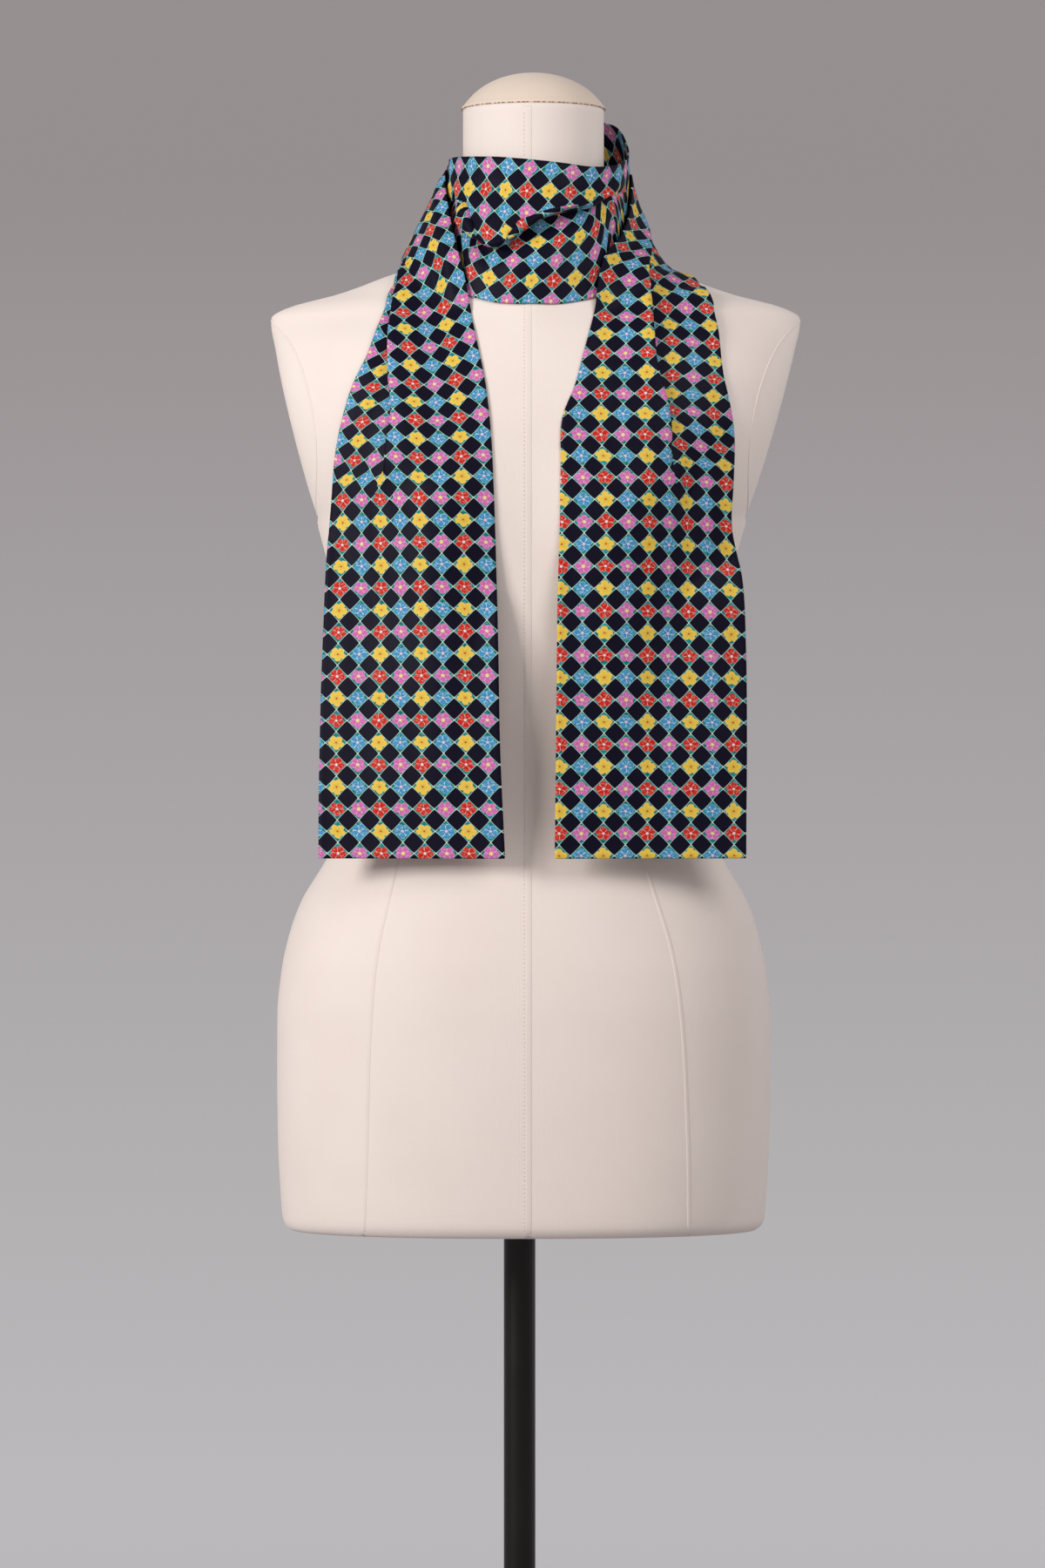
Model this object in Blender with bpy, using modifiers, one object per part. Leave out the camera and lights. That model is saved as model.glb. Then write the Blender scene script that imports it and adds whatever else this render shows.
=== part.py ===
"""A silk scarf wound once round the neck of a limbless dress form on a stand.

Metres, +Z up. The origin is the middle of the base's underside, on the floor. The front of the form
faces -Y, and the viewer's left is -X.

The scarf is one strip of cloth. Its rows run across the strip, from the hem of the left tail, round the
nape, across the throat, round the nape again and down to the hem of the right tail. Each row has an
outer edge and an inner edge: on a tail they are the edges away from and next to the middle of the chest,
and round the neck they are the lower and the upper edge. In one long tuck the side of the inner edge
steps over the side of the outer edge. The step fades out where the cloth lies flat.
"""

import math

import bmesh
import bpy
import numpy as np

# Cloth. The tuck's upper edge stands TUCK_RISE over the under part and hangs over it by the nose. Past
# the edge it settles to the under part's level, over a share of the way to the inner edge. The valley
# beside a flared edge has its place past the tuck and its width as shares of the row.
WALL = 0.0010
TUCK_RISE = 0.0044
TUCK_SETTLES = 0.6
NOSE = 0.0008
VALLEY_PAST_TUCK = 0.03
VALLEY_WIDTH = 0.13
SEAM_GAP = 0.0003
REST_GAP = 0.0016

# Form and stand
HIP_UNDERSIDE = 0.7625
NECK_TOP = 1.6115
NECK_RADIUS = 0.0560
NECK_X = 0.0105
NECK_Y = 0.0010
UNDERARM = 1.300
SHOULDER_TIP = 1.454
PLATE_BULGE = 0.014
PLATE_ROUND = 0.003
BUST_HEIGHT = 1.295
BUST_OUT = 0.078
BUST_RISE = 0.014
BUST_WIDE = 0.045
BUST_TALL = 0.050
CAP_RADIUS = 0.0545
CAP_RISE = 0.0270
CAP_RIM = 0.0015
POLE_RADIUS = 0.0120
BASE_RADIUS = 0.2200
BASE_EDGE = 0.0060
BASE_THICK = 0.0140
HUB_RADIUS = 0.0280
HUB_TOP = 0.0400
HUB_EDGE = 0.0020
HUB_FILLET = 0.0040
BASE_SLOPE = 0.0040
CHEST_TOP = 1.460

# How finely the solids are divided
RING_POINTS = 44
RING_SPACING = 0.026
ROW_STEPS = 2
BASE_SAMPLES = 25
UNDER_POINTS = 7
OVER_POINTS = 8
TURN_STEPS = 48
CAP_RINGS = 8
POLE_EDGE_DEGREES = 40

# How the cloth is laid on the form: levels looked at above a place, pushes out of the form, the small
# distance over which its slope is measured, and where the edge of the armhole plate is plainly far off
LEVELS_ABOVE = 14
PUSHES = 5
NUDGE = 0.0004
FAR_FROM_EDGE = 30

# Sections of the form: height, half width, depth in front, depth behind, squareness, middle
FORM_SECTIONS = (
    (0.7625, 0.1765, 0.1070, 0.1100, 2.30, 0.0030),
    (0.7655, 0.1805, 0.1105, 0.1140, 2.30, 0.0030),
    (0.7710, 0.1828, 0.1130, 0.1165, 2.30, 0.0030),
    (0.7920, 0.1845, 0.1145, 0.1185, 2.32, 0.0030),
    (0.8320, 0.1864, 0.1160, 0.1205, 2.35, 0.0030),
    (0.8850, 0.1870, 0.1168, 0.1215, 2.35, 0.0030),
    (0.9250, 0.1868, 0.1165, 0.1200, 2.35, 0.0030),
    (0.9580, 0.1837, 0.1145, 0.1155, 2.35, 0.0030),
    (0.9840, 0.1784, 0.1110, 0.1090, 2.32, 0.0032),
    (1.0100, 0.1695, 0.1065, 0.1005, 2.30, 0.0035),
    (1.0370, 0.1536, 0.1005, 0.0920, 2.26, 0.0038),
    (1.0600, 0.1405, 0.0955, 0.0855, 2.22, 0.0044),
    (1.0850, 0.1300, 0.0915, 0.0805, 2.20, 0.0052),
    (1.1150, 0.1250, 0.0900, 0.0780, 2.20, 0.0058),
    (1.1500, 0.1275, 0.0930, 0.0790, 2.20, 0.0064),
    (1.2000, 0.1370, 0.1000, 0.0840, 2.22, 0.0074),
    (1.2500, 0.1490, 0.1060, 0.0900, 2.25, 0.0082),
    (1.2850, 0.1589, 0.1085, 0.0940, 2.28, 0.0088),
    (1.3200, 0.1688, 0.1095, 0.0985, 2.30, 0.0094),
    (1.3600, 0.1800, 0.1080, 0.1005, 2.28, 0.0102),
    (1.4000, 0.1905, 0.1010, 0.0980, 2.15, 0.0110),
    (1.4300, 0.1976, 0.0905, 0.0920, 1.85, 0.0118),
    (1.4540, 0.2029, 0.0805, 0.0840, 1.38, 0.0122),
    (1.4575, 0.1996, 0.0790, 0.0825, 1.36, 0.0122),
    (1.4640, 0.1835, 0.0765, 0.0800, 1.35, 0.0121),
    (1.4707, 0.1566, 0.0735, 0.0775, 1.36, 0.0120),
    (1.4773, 0.1364, 0.0710, 0.0750, 1.40, 0.0118),
    (1.4840, 0.1190, 0.0685, 0.0725, 1.47, 0.0116),
    (1.4900, 0.1010, 0.0665, 0.0700, 1.55, 0.0114),
    (1.4960, 0.0850, 0.0645, 0.0680, 1.65, 0.0112),
    (1.5030, 0.0720, 0.0625, 0.0655, 1.78, 0.0110),
    (1.5120, 0.0630, 0.0600, 0.0625, 1.92, 0.0108),
    (1.5240, 0.0580, 0.0580, 0.0600, 2.00, 0.0106),
    (1.5400, 0.0560, 0.0565, 0.0585, 2.00, 0.0105),
    (1.5750, 0.0556, 0.0560, 0.0580, 2.00, 0.0105),
    (1.6115, 0.0556, 0.0560, 0.0580, 2.00, 0.0105),
)

# Rows of a tail, from its hem up. Edges are given across, out in front (minus Y) and up.
# laid is 1 where the row lies on the chest and 0 where it keeps the places given here.
# tuck is the tuck's place across the row, and fold how far it is folded in.
LEFT_TAIL = (
    # outer edge x, y, z, inner edge x, y, z, laid, bulge, tuck, fold
    (-0.1490, -0.0980, 1.0453, -0.0113, -0.1210, 1.0453, 0.00, 0.0020, 0.42, 0.00),
    (-0.1484, -0.0930, 1.1257, -0.0149, -0.1200, 1.1257, 0.20, 0.0030, 0.42, 0.00),
    (-0.1458, -0.0850, 1.2158, -0.0167, -0.1180, 1.2158, 0.60, 0.0020, 0.42, 0.00),
    (-0.1436, -0.0800, 1.2670, -0.0181, -0.1100, 1.2670, 0.90, 0.0010, 0.42, 0.00),
    (-0.1400, -0.0700, 1.3150, -0.0199, -0.1000, 1.3220, 1.00, 0.0000, 0.42, 0.10),
    (-0.1372, -0.0700, 1.3470, -0.0213, -0.0900, 1.3520, 1.00, 0.0000, 0.38, 0.60),
    (-0.1305, -0.0700, 1.3780, -0.0240, -0.0900, 1.3830, 1.00, 0.0000, 0.36, 1.00),
    (-0.1240, -0.0600, 1.3980, -0.0272, -0.0850, 1.4050, 1.00, 0.0000, 0.30, 1.00),
    (-0.1125, -0.0500, 1.4200, -0.0322, -0.0800, 1.4290, 0.90, 0.0010, 0.20, 1.00),
    (-0.0940, -0.0360, 1.4560, -0.0405, -0.0715, 1.4690, 0.00, 0.0040, 0.10, 1.00),
    (-0.0905, -0.0215, 1.4750, -0.0440, -0.0675, 1.4840, 0.00, 0.0060, 0.10, 1.00),
    (-0.0870, -0.0060, 1.4870, -0.0475, -0.0615, 1.4980, 0.00, 0.0085, 0.10, 0.90),
    (-0.0860, 0.0160, 1.4910, -0.0545, -0.0410, 1.5290, 0.00, 0.0085, 0.12, 0.60),
    (-0.0810, 0.0330, 1.4930, -0.0575, -0.0160, 1.5530, 0.00, 0.0080, 0.20, 0.25),
    (-0.0700, 0.0490, 1.4950, -0.0555, 0.0080, 1.5690, 0.00, 0.0060, 0.40, 0.00),
)
RIGHT_TAIL = (
    (0.1680, -0.0980, 1.0453, 0.0267, -0.1210, 1.0453, 0.00, 0.0020, 0.52, 0.00),
    (0.1686, -0.0930, 1.1200, 0.0275, -0.1200, 1.1200, 0.20, 0.0030, 0.52, 0.00),
    (0.1683, -0.0860, 1.2000, 0.0284, -0.1190, 1.2000, 0.60, 0.0020, 0.52, 0.00),
    (0.1655, -0.0820, 1.2550, 0.0292, -0.1150, 1.2550, 0.90, 0.0010, 0.52, 0.00),
    (0.1583, -0.0600, 1.2930, 0.0305, -0.1100, 1.2930, 1.00, 0.0000, 0.50, 0.00),
    (0.1596, -0.0600, 1.3280, 0.0312, -0.1000, 1.3350, 1.00, 0.0000, 0.50, 0.05),
    (0.1600, -0.0600, 1.3600, 0.0330, -0.0900, 1.3740, 1.00, 0.0000, 0.46, 0.40),
    (0.1575, -0.0600, 1.3800, 0.0417, -0.0850, 1.3960, 1.00, 0.0000, 0.44, 0.80),
    (0.1525, -0.0550, 1.4030, 0.0489, -0.0800, 1.4230, 1.00, 0.0000, 0.46, 1.00),
    (0.1455, -0.0450, 1.4260, 0.0565, -0.0760, 1.4530, 0.50, 0.0010, 0.52, 1.00),
    (0.1385, -0.0300, 1.4510, 0.0600, -0.0705, 1.4780, 0.00, 0.0020, 0.56, 1.00),
    (0.1325, -0.0140, 1.4700, 0.0650, -0.0600, 1.4970, 0.00, 0.0010, 0.58, 1.00),
    (0.1260, 0.0030, 1.4830, 0.0760, -0.0440, 1.5120, 0.00, -0.0010, 0.58, 0.90),
    (0.1190, 0.0190, 1.4870, 0.0840, -0.0160, 1.5365, 0.00, -0.0020, 0.56, 0.60),
    (0.1100, 0.0350, 1.4840, 0.0850, 0.0075, 1.5640, 0.00, -0.0010, 0.50, 0.25),
)

# Rows round the neck. azimuth is 0 at the throat and 90 at the viewer's right; off is the distance
# of the cloth from the neck. flare lifts the upper part's folded edge, and valley sinks the part under it.
NAPE_OVER = (
    # azimuth, low z, low off, top z, top off, bulge, tuck, fold, flare, valley
    (240, 1.4980, 0.0210, 1.5780, 0.0105, 0.0050, 0.45, 0.00, 0.000, 0.000),
    (210, 1.5150, 0.0175, 1.5850, 0.0100, 0.0040, 0.45, 0.00, 0.000, 0.000),
    (180, 1.5310, 0.0120, 1.5960, 0.0095, 0.0025, 0.45, 0.00, 0.000, 0.000),
    (150, 1.5500, 0.0110, 1.6080, 0.0125, 0.0020, 0.45, 0.00, 0.000, 0.000),
    (120, 1.5480, 0.0160, 1.6030, 0.0175, 0.0015, 0.45, 0.00, 0.000, 0.000),
    (105, 1.5280, 0.0165, 1.5880, 0.0175, 0.0015, 0.45, 0.00, 0.000, 0.000),
)
NECK_BAND = (
    (88, 1.5060, 0.0160, 1.5750, 0.0150, 0.0010, 0.55, 0.00, 0.000, 0.001),
    (70, 1.5030, 0.0150, 1.5680, 0.0130, 0.0015, 0.58, 0.45, 0.001, 0.001),
    (52, 1.4880, 0.0190, 1.5645, 0.0110, 0.0020, 0.62, 0.90, 0.003, 0.003),
    (36, 1.4660, 0.0265, 1.5635, 0.0095, 0.0030, 0.64, 1.00, 0.005, 0.004),
    (18, 1.4600, 0.0250, 1.5655, 0.0085, 0.0040, 0.60, 1.00, 0.006, 0.005),
    (0, 1.4590, 0.0240, 1.5675, 0.0075, 0.0040, 0.48, 1.00, 0.007, 0.006),
    (-18, 1.4600, 0.0245, 1.5695, 0.0065, 0.0040, 0.36, 1.00, 0.008, 0.005),
    (-36, 1.4660, 0.0265, 1.5710, 0.0065, 0.0030, 0.30, 1.00, 0.006, 0.003),
    (-52, 1.4870, 0.0180, 1.5725, 0.0065, 0.0020, 0.34, 0.55, 0.001, 0.001),
    (-70, 1.5020, 0.0120, 1.5735, 0.0070, 0.0010, 0.40, 0.10, 0.000, 0.000),
    (-88, 1.5050, 0.0110, 1.5740, 0.0075, 0.0010, 0.45, 0.00, 0.000, 0.000),
)
NAPE_UNDER = (
    (-105, 1.5040, 0.0090, 1.5730, 0.0060, 0.0010, 0.45, 0.00, 0.000, 0.000),
    (-120, 1.5030, 0.0080, 1.5720, 0.0045, 0.0010, 0.45, 0.00, 0.000, 0.000),
    (-150, 1.5040, 0.0045, 1.5680, 0.0022, 0.0010, 0.45, 0.00, 0.000, 0.000),
    (-180, 1.5030, 0.0040, 1.5600, 0.0018, 0.0005, 0.45, 0.00, 0.000, 0.000),
    (-210, 1.4920, 0.0140, 1.5410, 0.0040, 0.0005, 0.45, 0.00, 0.000, 0.000),
    (-240, 1.4850, 0.0390, 1.5400, 0.0220, 0.0005, 0.45, 0.00, 0.000, 0.000),
)

# Colours as red, green, blue, and each finish's roughness and metallic value
SILK = ((0.030, 0.060, 0.080), 0.45, 0.0)
COVER_CLOTH = ((0.760, 0.690, 0.640), 0.85, 0.0)
CAP_CLOTH = ((0.720, 0.650, 0.560), 0.80, 0.0)
DARK_METAL = ((0.018, 0.014, 0.013), 0.40, 0.6)


def smooth_rows(rows, steps):
    """Rows set between the rows of a table, on a smooth curve through it, in as many steps as given."""
    table = np.array(rows, dtype=float)
    middles = (table[:, 0:3] + table[:, 3:6]) / 2
    spans = np.linalg.norm(np.diff(middles, axis=0), axis=1)
    slopes = np.diff(table, axis=0) / spans[:, None]
    tangents = np.empty_like(table)
    tangents[0] = slopes[0]
    tangents[-1] = slopes[-1]
    before = spans[:-1, None]
    after = spans[1:, None]
    tangents[1:-1] = (slopes[:-1] * after + slopes[1:] * before) / (before + after)
    dense = []
    for index, span in enumerate(spans):
        for step in range(steps):
            dense.append(hermite(table, tangents, index, step / steps, span))
    dense.append(table[-1])
    return np.array(dense)


def hermite(table, tangents, index, share, span):
    """A row part of the way from one row of the table to the next."""
    start = (2 * share**3 - 3 * share**2 + 1) * table[index]
    end = (3 * share**2 - 2 * share**3) * table[index + 1]
    lean = (share**3 - 2 * share**2 + share) * span * tangents[index]
    arrive = (share**3 - share**2) * span * tangents[index + 1]
    return start + end + lean + arrive


def form_section(height):
    """Half width, depth in front, depth behind, squareness and middle of the form at a height."""
    table = FORM_TABLE
    heights = table[:, 0]
    height = min(max(height, heights[0]), heights[-1])
    index = min(int(np.searchsorted(heights, height, side="right")) - 1, len(heights) - 2)
    span = heights[index + 1] - heights[index]
    share = (height - heights[index]) / span
    return hermite(table, FORM_TANGENTS, index, share, span)[1:]


def form_tangents(table):
    """Slopes at the form's sections that never overshoot them."""
    spans = np.diff(table[:, 0])[:, None]
    slopes = np.diff(table, axis=0) / spans
    tangents = np.zeros_like(table)
    tangents[0] = slopes[0]
    tangents[-1] = slopes[-1]
    before = slopes[:-1]
    after = slopes[1:]
    same_way = before * after > 0
    both = np.where(same_way, before + after, 1.0)
    tangents[1:-1] = np.where(same_way, 2 * before * after / both, 0.0)
    return tangents


def plate_bulge(height):
    """How far the torso would reach past the flat armhole plate at a height."""
    share = (height - UNDERARM) / (SHOULDER_TIP - UNDERARM)
    if share <= 0 or share >= 1:
        return 0.0
    return PLATE_BULGE * math.sin(math.pi * share)


def bust(across, height):
    """Rise of the bust over the plain section."""
    beside = (abs(across) - BUST_OUT) / BUST_WIDE
    above = (height - BUST_HEIGHT) / BUST_TALL
    return BUST_RISE * math.exp(-(beside**2) - above**2)


def soft_limit(value, limit):
    """The value kept under a limit, with a rounded edge where it reaches it."""
    near = (limit - value) / PLATE_ROUND
    if near > FAR_FROM_EDGE:
        return value
    return limit - PLATE_ROUND * math.log(1 + math.exp(near))


def form_point(height, turn):
    """A point of the form's surface, turned from the viewer's right through the back."""
    half, front, behind, square, middle = form_section(height)
    bulge = plate_bulge(height)
    cosine = math.cos(turn)
    sine = math.sin(turn)
    across = (half + bulge) * abs(cosine) ** (2 / square)
    if bulge > 0:
        across = soft_limit(across, half)
    across = math.copysign(across, cosine)
    depth = front if sine < 0 else behind
    out = math.copysign(depth * abs(sine) ** (2 / square), sine)
    if sine < 0:
        out += bust(across, height) * sine
    return np.array((middle + across, out, height))


def front_depth(x, height):
    """How far the form stands out in front of the pole's axis at a place on the chest."""
    half, front, _, square, middle = form_section(height)
    across = x - middle
    share = 1 - (abs(across) / (half + plate_bulge(height))) ** square
    if share <= 0:
        return 0.0
    return front * share ** (1 / square) + bust(across, height) * math.sqrt(share)


def drape_depth(x, height):
    """Depth of cloth that hangs from the chest: the furthest that the form stands out above it."""
    levels = np.linspace(height, max(height, CHEST_TOP), LEVELS_ABOVE)
    return max(front_depth(x, level) for level in levels)


def form_level(point):
    """Below zero inside the form, above zero outside."""
    half, front, behind, square, middle = form_section(point[2])
    half += plate_bulge(point[2])
    front += bust(point[0] - middle, point[2])
    depth = front if point[1] < 0 else behind
    reach = (abs(point[0] - middle) / half) ** square + (abs(point[1]) / depth) ** square
    return reach ** (1 / square) - 1


def clear_of_form(point, gap):
    """The point moved straight out of the form until it is a gap away from it."""
    for _ in range(PUSHES):
        level = form_level(point)
        slope = np.array([
            (form_level(point + NUDGE * axis) - form_level(point - NUDGE * axis)) / (2 * NUDGE)
            for axis in np.eye(3)
        ])
        steep = np.linalg.norm(slope)
        lack = gap - level / steep
        if lack <= 0:
            break
        point = point + slope / steep * lack
    return point


def neck_rows(rows):
    """Rows given round the neck, turned into edges in space with the same columns as a tail's rows."""
    turned = []
    for azimuth, low_z, low_off, top_z, top_off, bulge, tuck, fold, flare, valley in rows:
        angle = math.radians(azimuth)
        aim = np.array((math.sin(angle), -math.cos(angle)))
        axis = np.array((NECK_X, NECK_Y))
        low = axis + aim * (NECK_RADIUS + low_off)
        top = axis + aim * (NECK_RADIUS + top_off)
        turned.append((*low, low_z, *top, top_z, 0.0, bulge, tuck, fold, flare, valley))
    return turned


def tail_rows(rows):
    """A tail's rows, without the flare and valley that only the band has."""
    return [(*row, 0.0, 0.0) for row in rows]


def ribbon_table():
    """Every row of the scarf from the left hem to the right hem, and where each stretch begins."""
    stretches = (
        ("left_tail", tail_rows(LEFT_TAIL)),
        ("nape_over", neck_rows(NAPE_OVER)),
        ("neck_band", neck_rows(NECK_BAND)),
        ("nape_under", neck_rows(NAPE_UNDER)),
        ("right_tail", tail_rows(reversed(RIGHT_TAIL))),
    )
    rows = []
    starts = {}
    for name, part in stretches:
        starts[name] = len(rows)
        rows.extend(part)
    return rows, starts


def smooth_step(share):
    """A soft rise from 0 to 1."""
    share = min(max(share, 0.0), 1.0)
    return share * share * (3 - 2 * share)


def base_grid(rows):
    """The surface that the scarf's under layer follows, as rows of points from outer to inner edge."""
    shares = np.linspace(0, 1, BASE_SAMPLES)
    middles = (rows[:, 0:3] + rows[:, 3:6]) / 2
    ways = np.gradient(middles, axis=0)
    grid = np.empty((len(rows), BASE_SAMPLES, 3))
    for index, row in enumerate(rows):
        outer = row[0:3]
        inner = row[3:6]
        laid, bulge, tuck, _, _, valley = row[6:12]
        out = np.cross(inner - outer, ways[index])
        out /= np.linalg.norm(out)
        for place, share in enumerate(shares):
            from_valley = (share - tuck - VALLEY_PAST_TUCK) / VALLEY_WIDTH
            rise = bulge * 4 * share * (1 - share) - valley * math.exp(-(from_valley**2))
            point = outer + (inner - outer) * share + out * rise
            if laid > 0:
                hung = -drape_depth(point[0], point[2]) - REST_GAP
                point[1] += (min(point[1], hung) - point[1]) * laid
            grid[index, place] = clear_of_form(point, REST_GAP)
    return grid


def grid_normals(grid):
    """Directions straight out of the grid, away from the form."""
    along = np.gradient(grid, axis=0)
    across = np.gradient(grid, axis=1)
    out = np.cross(across, along)
    return out / np.linalg.norm(out, axis=2)[:, :, None]


def tuck_path(tuck, fold, flare, reach):
    """Places across one row: share of the visible width, and height over the under layer.

    reach is the visible width. Without a fold the places are even. A fold lifts the over layer, draws
    its edge to the tuck's line and lets it hang a little over the under layer.
    """
    lifted = smooth_step(fold)
    nose = NOSE / reach
    places = [(share, 0.0) for share in np.linspace(0, tuck + nose, UNDER_POINTS)]
    places.append((tuck + nose / 2, TUCK_RISE / 3))
    places.append((tuck - nose / 2, TUCK_RISE * 2 / 3))
    settle = 1 - tuck
    for share in np.linspace(0, 1, OVER_POINTS):
        place = tuck + settle * share - nose * (1 - share)
        past = (place - tuck) / (TUCK_SETTLES * settle)
        places.append((place, TUCK_RISE * (1 - smooth_step(past)) + flare * (1 - share) ** 2))
    even = np.linspace(0, 1, len(places))
    return [
        ((1 - fold) * even[index] + fold * place, lifted * height)
        for index, (place, height) in enumerate(places)
    ]


def along_grid(line, share):
    """The point a share of the way along a row of evenly spaced points."""
    at = min(max(share, 0.0), 1.0) * (len(line) - 1)
    index = min(int(at), len(line) - 2)
    return line[index] + (line[index + 1] - line[index]) * (at - index)


def cloth_grid(rows):
    """The middle of the scarf's wall, row by row, with its tuck folded."""
    grid = base_grid(rows)
    normals = grid_normals(grid)
    cloth = []
    for index, row in enumerate(rows):
        tuck, fold, flare = row[8:11]
        line = grid[index]
        reach = np.linalg.norm(np.diff(line, axis=0), axis=1).sum()
        points = []
        for share, height in tuck_path(tuck, fold, flare, reach):
            points.append(along_grid(line, share) + along_grid(normals[index], share) * height)
        cloth.append(points)
    return np.array(cloth)


def material(name, finish):
    """A plain material of one colour."""
    colour, roughness, metallic = finish
    made = bpy.data.materials.new(name)
    made.use_nodes = True
    shader = made.node_tree.nodes["Principled BSDF"]
    shader.inputs["Base Color"].default_value = (*colour, 1.0)
    shader.inputs["Roughness"].default_value = roughness
    shader.inputs["Metallic"].default_value = metallic
    return made


def add_piece(name, mesh, finish, collection):
    """An object for one sub-part, with its own material, in the part's collection."""
    piece = bpy.data.objects.new(name, mesh)
    mesh.materials.append(material(name + "_finish", finish))
    mesh.shade_smooth()
    collection.objects.link(piece)
    return piece


def cloth_piece(name, points, collection):
    """One stretch of the scarf: an open sheet through its rows, thickened to the cloth's wall."""
    count = len(points[0])
    corners = [tuple(point) for row in points for point in row]
    faces = []
    for row in range(len(points) - 1):
        for place in range(count - 1):
            first = row * count + place
            faces.append((first, first + 1, first + count + 1, first + count))
    mesh = bpy.data.meshes.new(name)
    mesh.from_pydata(corners, [], faces)
    piece = add_piece(name, mesh, SILK, collection)
    wall = piece.modifiers.new("wall", "SOLIDIFY")
    wall.thickness = WALL
    wall.offset = 0.0
    return piece


def shortened(points, from_start, from_end):
    """The rows of a stretch with its first or last row drawn back by half a seam gap."""
    points = points.copy()
    if from_start:
        way = points[1] - points[0]
        points[0] += way / np.linalg.norm(way, axis=1)[:, None] * SEAM_GAP / 2
    if from_end:
        way = points[-2] - points[-1]
        points[-1] += way / np.linalg.norm(way, axis=1)[:, None] * SEAM_GAP / 2
    return points


def make_scarf(collection):
    """The scarf's five stretches, cut from one continuous strip."""
    table, starts = ribbon_table()
    cloth = cloth_grid(smooth_rows(table, ROW_STEPS))
    names = list(starts)
    for order, name in enumerate(names):
        first = 0 if order == 0 else starts[name] * ROW_STEPS - 1
        is_last = order == len(names) - 1
        last = len(cloth) - 1 if is_last else starts[names[order + 1]] * ROW_STEPS - 1
        points = shortened(cloth[first : last + 1], order > 0, not is_last)
        cloth_piece(name, points, collection)


def form_heights():
    """Heights of the form's rings: each section of the table, and one between where it is open."""
    heights = []
    for low, high in zip(FORM_TABLE[:-1, 0], FORM_TABLE[1:, 0]):
        parts = math.ceil((high - low) / RING_SPACING)
        heights.extend(np.linspace(low, high, parts, endpoint=False))
    heights.append(FORM_TABLE[-1, 0])
    return heights


def make_form_body(collection):
    """The torso and neck: one smooth solid lofted through horizontal rings."""
    build = bmesh.new()
    rings = []
    for height in form_heights():
        ring = []
        for index in range(RING_POINTS):
            turn = 2 * math.pi * index / RING_POINTS
            ring.append(build.verts.new(form_point(height, turn)))
        rings.append(ring)
    for lower, upper in zip(rings, rings[1:]):
        for index in range(RING_POINTS):
            after = (index + 1) % RING_POINTS
            build.faces.new((lower[index], lower[after], upper[after], upper[index]))
    build.faces.new(reversed(rings[0]))
    build.faces.new(rings[-1])
    mesh = bpy.data.meshes.new("form_body")
    build.to_mesh(mesh)
    build.free()
    add_piece("form_body", mesh, COVER_CLOTH, collection)


def turned_piece(name, profile, x, y, finish, collection):
    """A solid turned round a vertical axis from a profile that runs down its outer side."""
    mesh = bpy.data.meshes.new(name)
    edges = [(index, index + 1) for index in range(len(profile) - 1)]
    mesh.from_pydata([(radius, 0.0, height) for radius, height in profile], edges, [])
    piece = add_piece(name, mesh, finish, collection)
    piece.location = (x, y, 0.0)
    turn = piece.modifiers.new("turn", "SCREW")
    turn.steps = TURN_STEPS
    turn.render_steps = TURN_STEPS
    turn.use_merge_vertices = True
    turn.merge_threshold = 0.0001
    return piece


def make_neck_cap(collection):
    """The dome on the neck: a slice of a sphere over a low rim, seated just above the neck."""
    foot = NECK_TOP + SEAM_GAP
    sphere = (CAP_RADIUS**2 + CAP_RISE**2) / (2 * CAP_RISE)
    widest = math.asin(CAP_RADIUS / sphere)
    profile = []
    for index in range(CAP_RINGS + 1):
        angle = widest * index / CAP_RINGS
        height = foot + CAP_RIM + CAP_RISE - sphere * (1 - math.cos(angle))
        profile.append((sphere * math.sin(angle), height))
    profile.append((CAP_RADIUS, foot))
    profile.append((0.0, foot))
    turned_piece("neck_cap", profile, NECK_X, NECK_Y, CAP_CLOTH, collection)


def make_stand(collection):
    """The pole under the torso, and the round base with a hub that the pole stands on."""
    rim_top = BASE_THICK - BASE_SLOPE
    base_profile = (
        (0.0, HUB_TOP),
        (HUB_RADIUS - HUB_EDGE, HUB_TOP),
        (HUB_RADIUS, HUB_TOP - HUB_EDGE),
        (HUB_RADIUS, BASE_THICK + HUB_FILLET),
        (HUB_RADIUS + HUB_FILLET, BASE_THICK),
        (BASE_RADIUS - BASE_EDGE, rim_top),
        (BASE_RADIUS - BASE_EDGE / 4, rim_top - BASE_EDGE / 3),
        (BASE_RADIUS, rim_top - BASE_EDGE),
        (BASE_RADIUS, 0.0),
        (0.0, 0.0),
    )
    turned_piece("stand_base", base_profile, 0.0, 0.0, DARK_METAL, collection)
    foot = HUB_TOP + SEAM_GAP
    head = HIP_UNDERSIDE - SEAM_GAP
    bpy.ops.mesh.primitive_cylinder_add(
        vertices=TURN_STEPS,
        radius=POLE_RADIUS,
        depth=head - foot,
        location=(0.0, 0.0, (head + foot) / 2),
    )
    pole = bpy.context.active_object
    pole.name = "stand_pole"
    pole.data.name = "stand_pole"
    pole.data.materials.append(material("stand_pole_finish", DARK_METAL))
    pole.data.shade_smooth()
    pole.data.set_sharp_from_angle(angle=math.radians(POLE_EDGE_DEGREES))
    for home in list(pole.users_collection):
        home.objects.unlink(pole)
    collection.objects.link(pole)


def main():
    for thing in list(bpy.data.objects):
        bpy.data.objects.remove(thing)
    collection = bpy.data.collections.new("silk_scarf_on_dress_form")
    bpy.context.scene.collection.children.link(collection)
    make_form_body(collection)
    make_neck_cap(collection)
    make_stand(collection)
    make_scarf(collection)


FORM_TABLE = np.array(FORM_SECTIONS)
FORM_TANGENTS = form_tangents(FORM_TABLE)
main()
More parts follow.
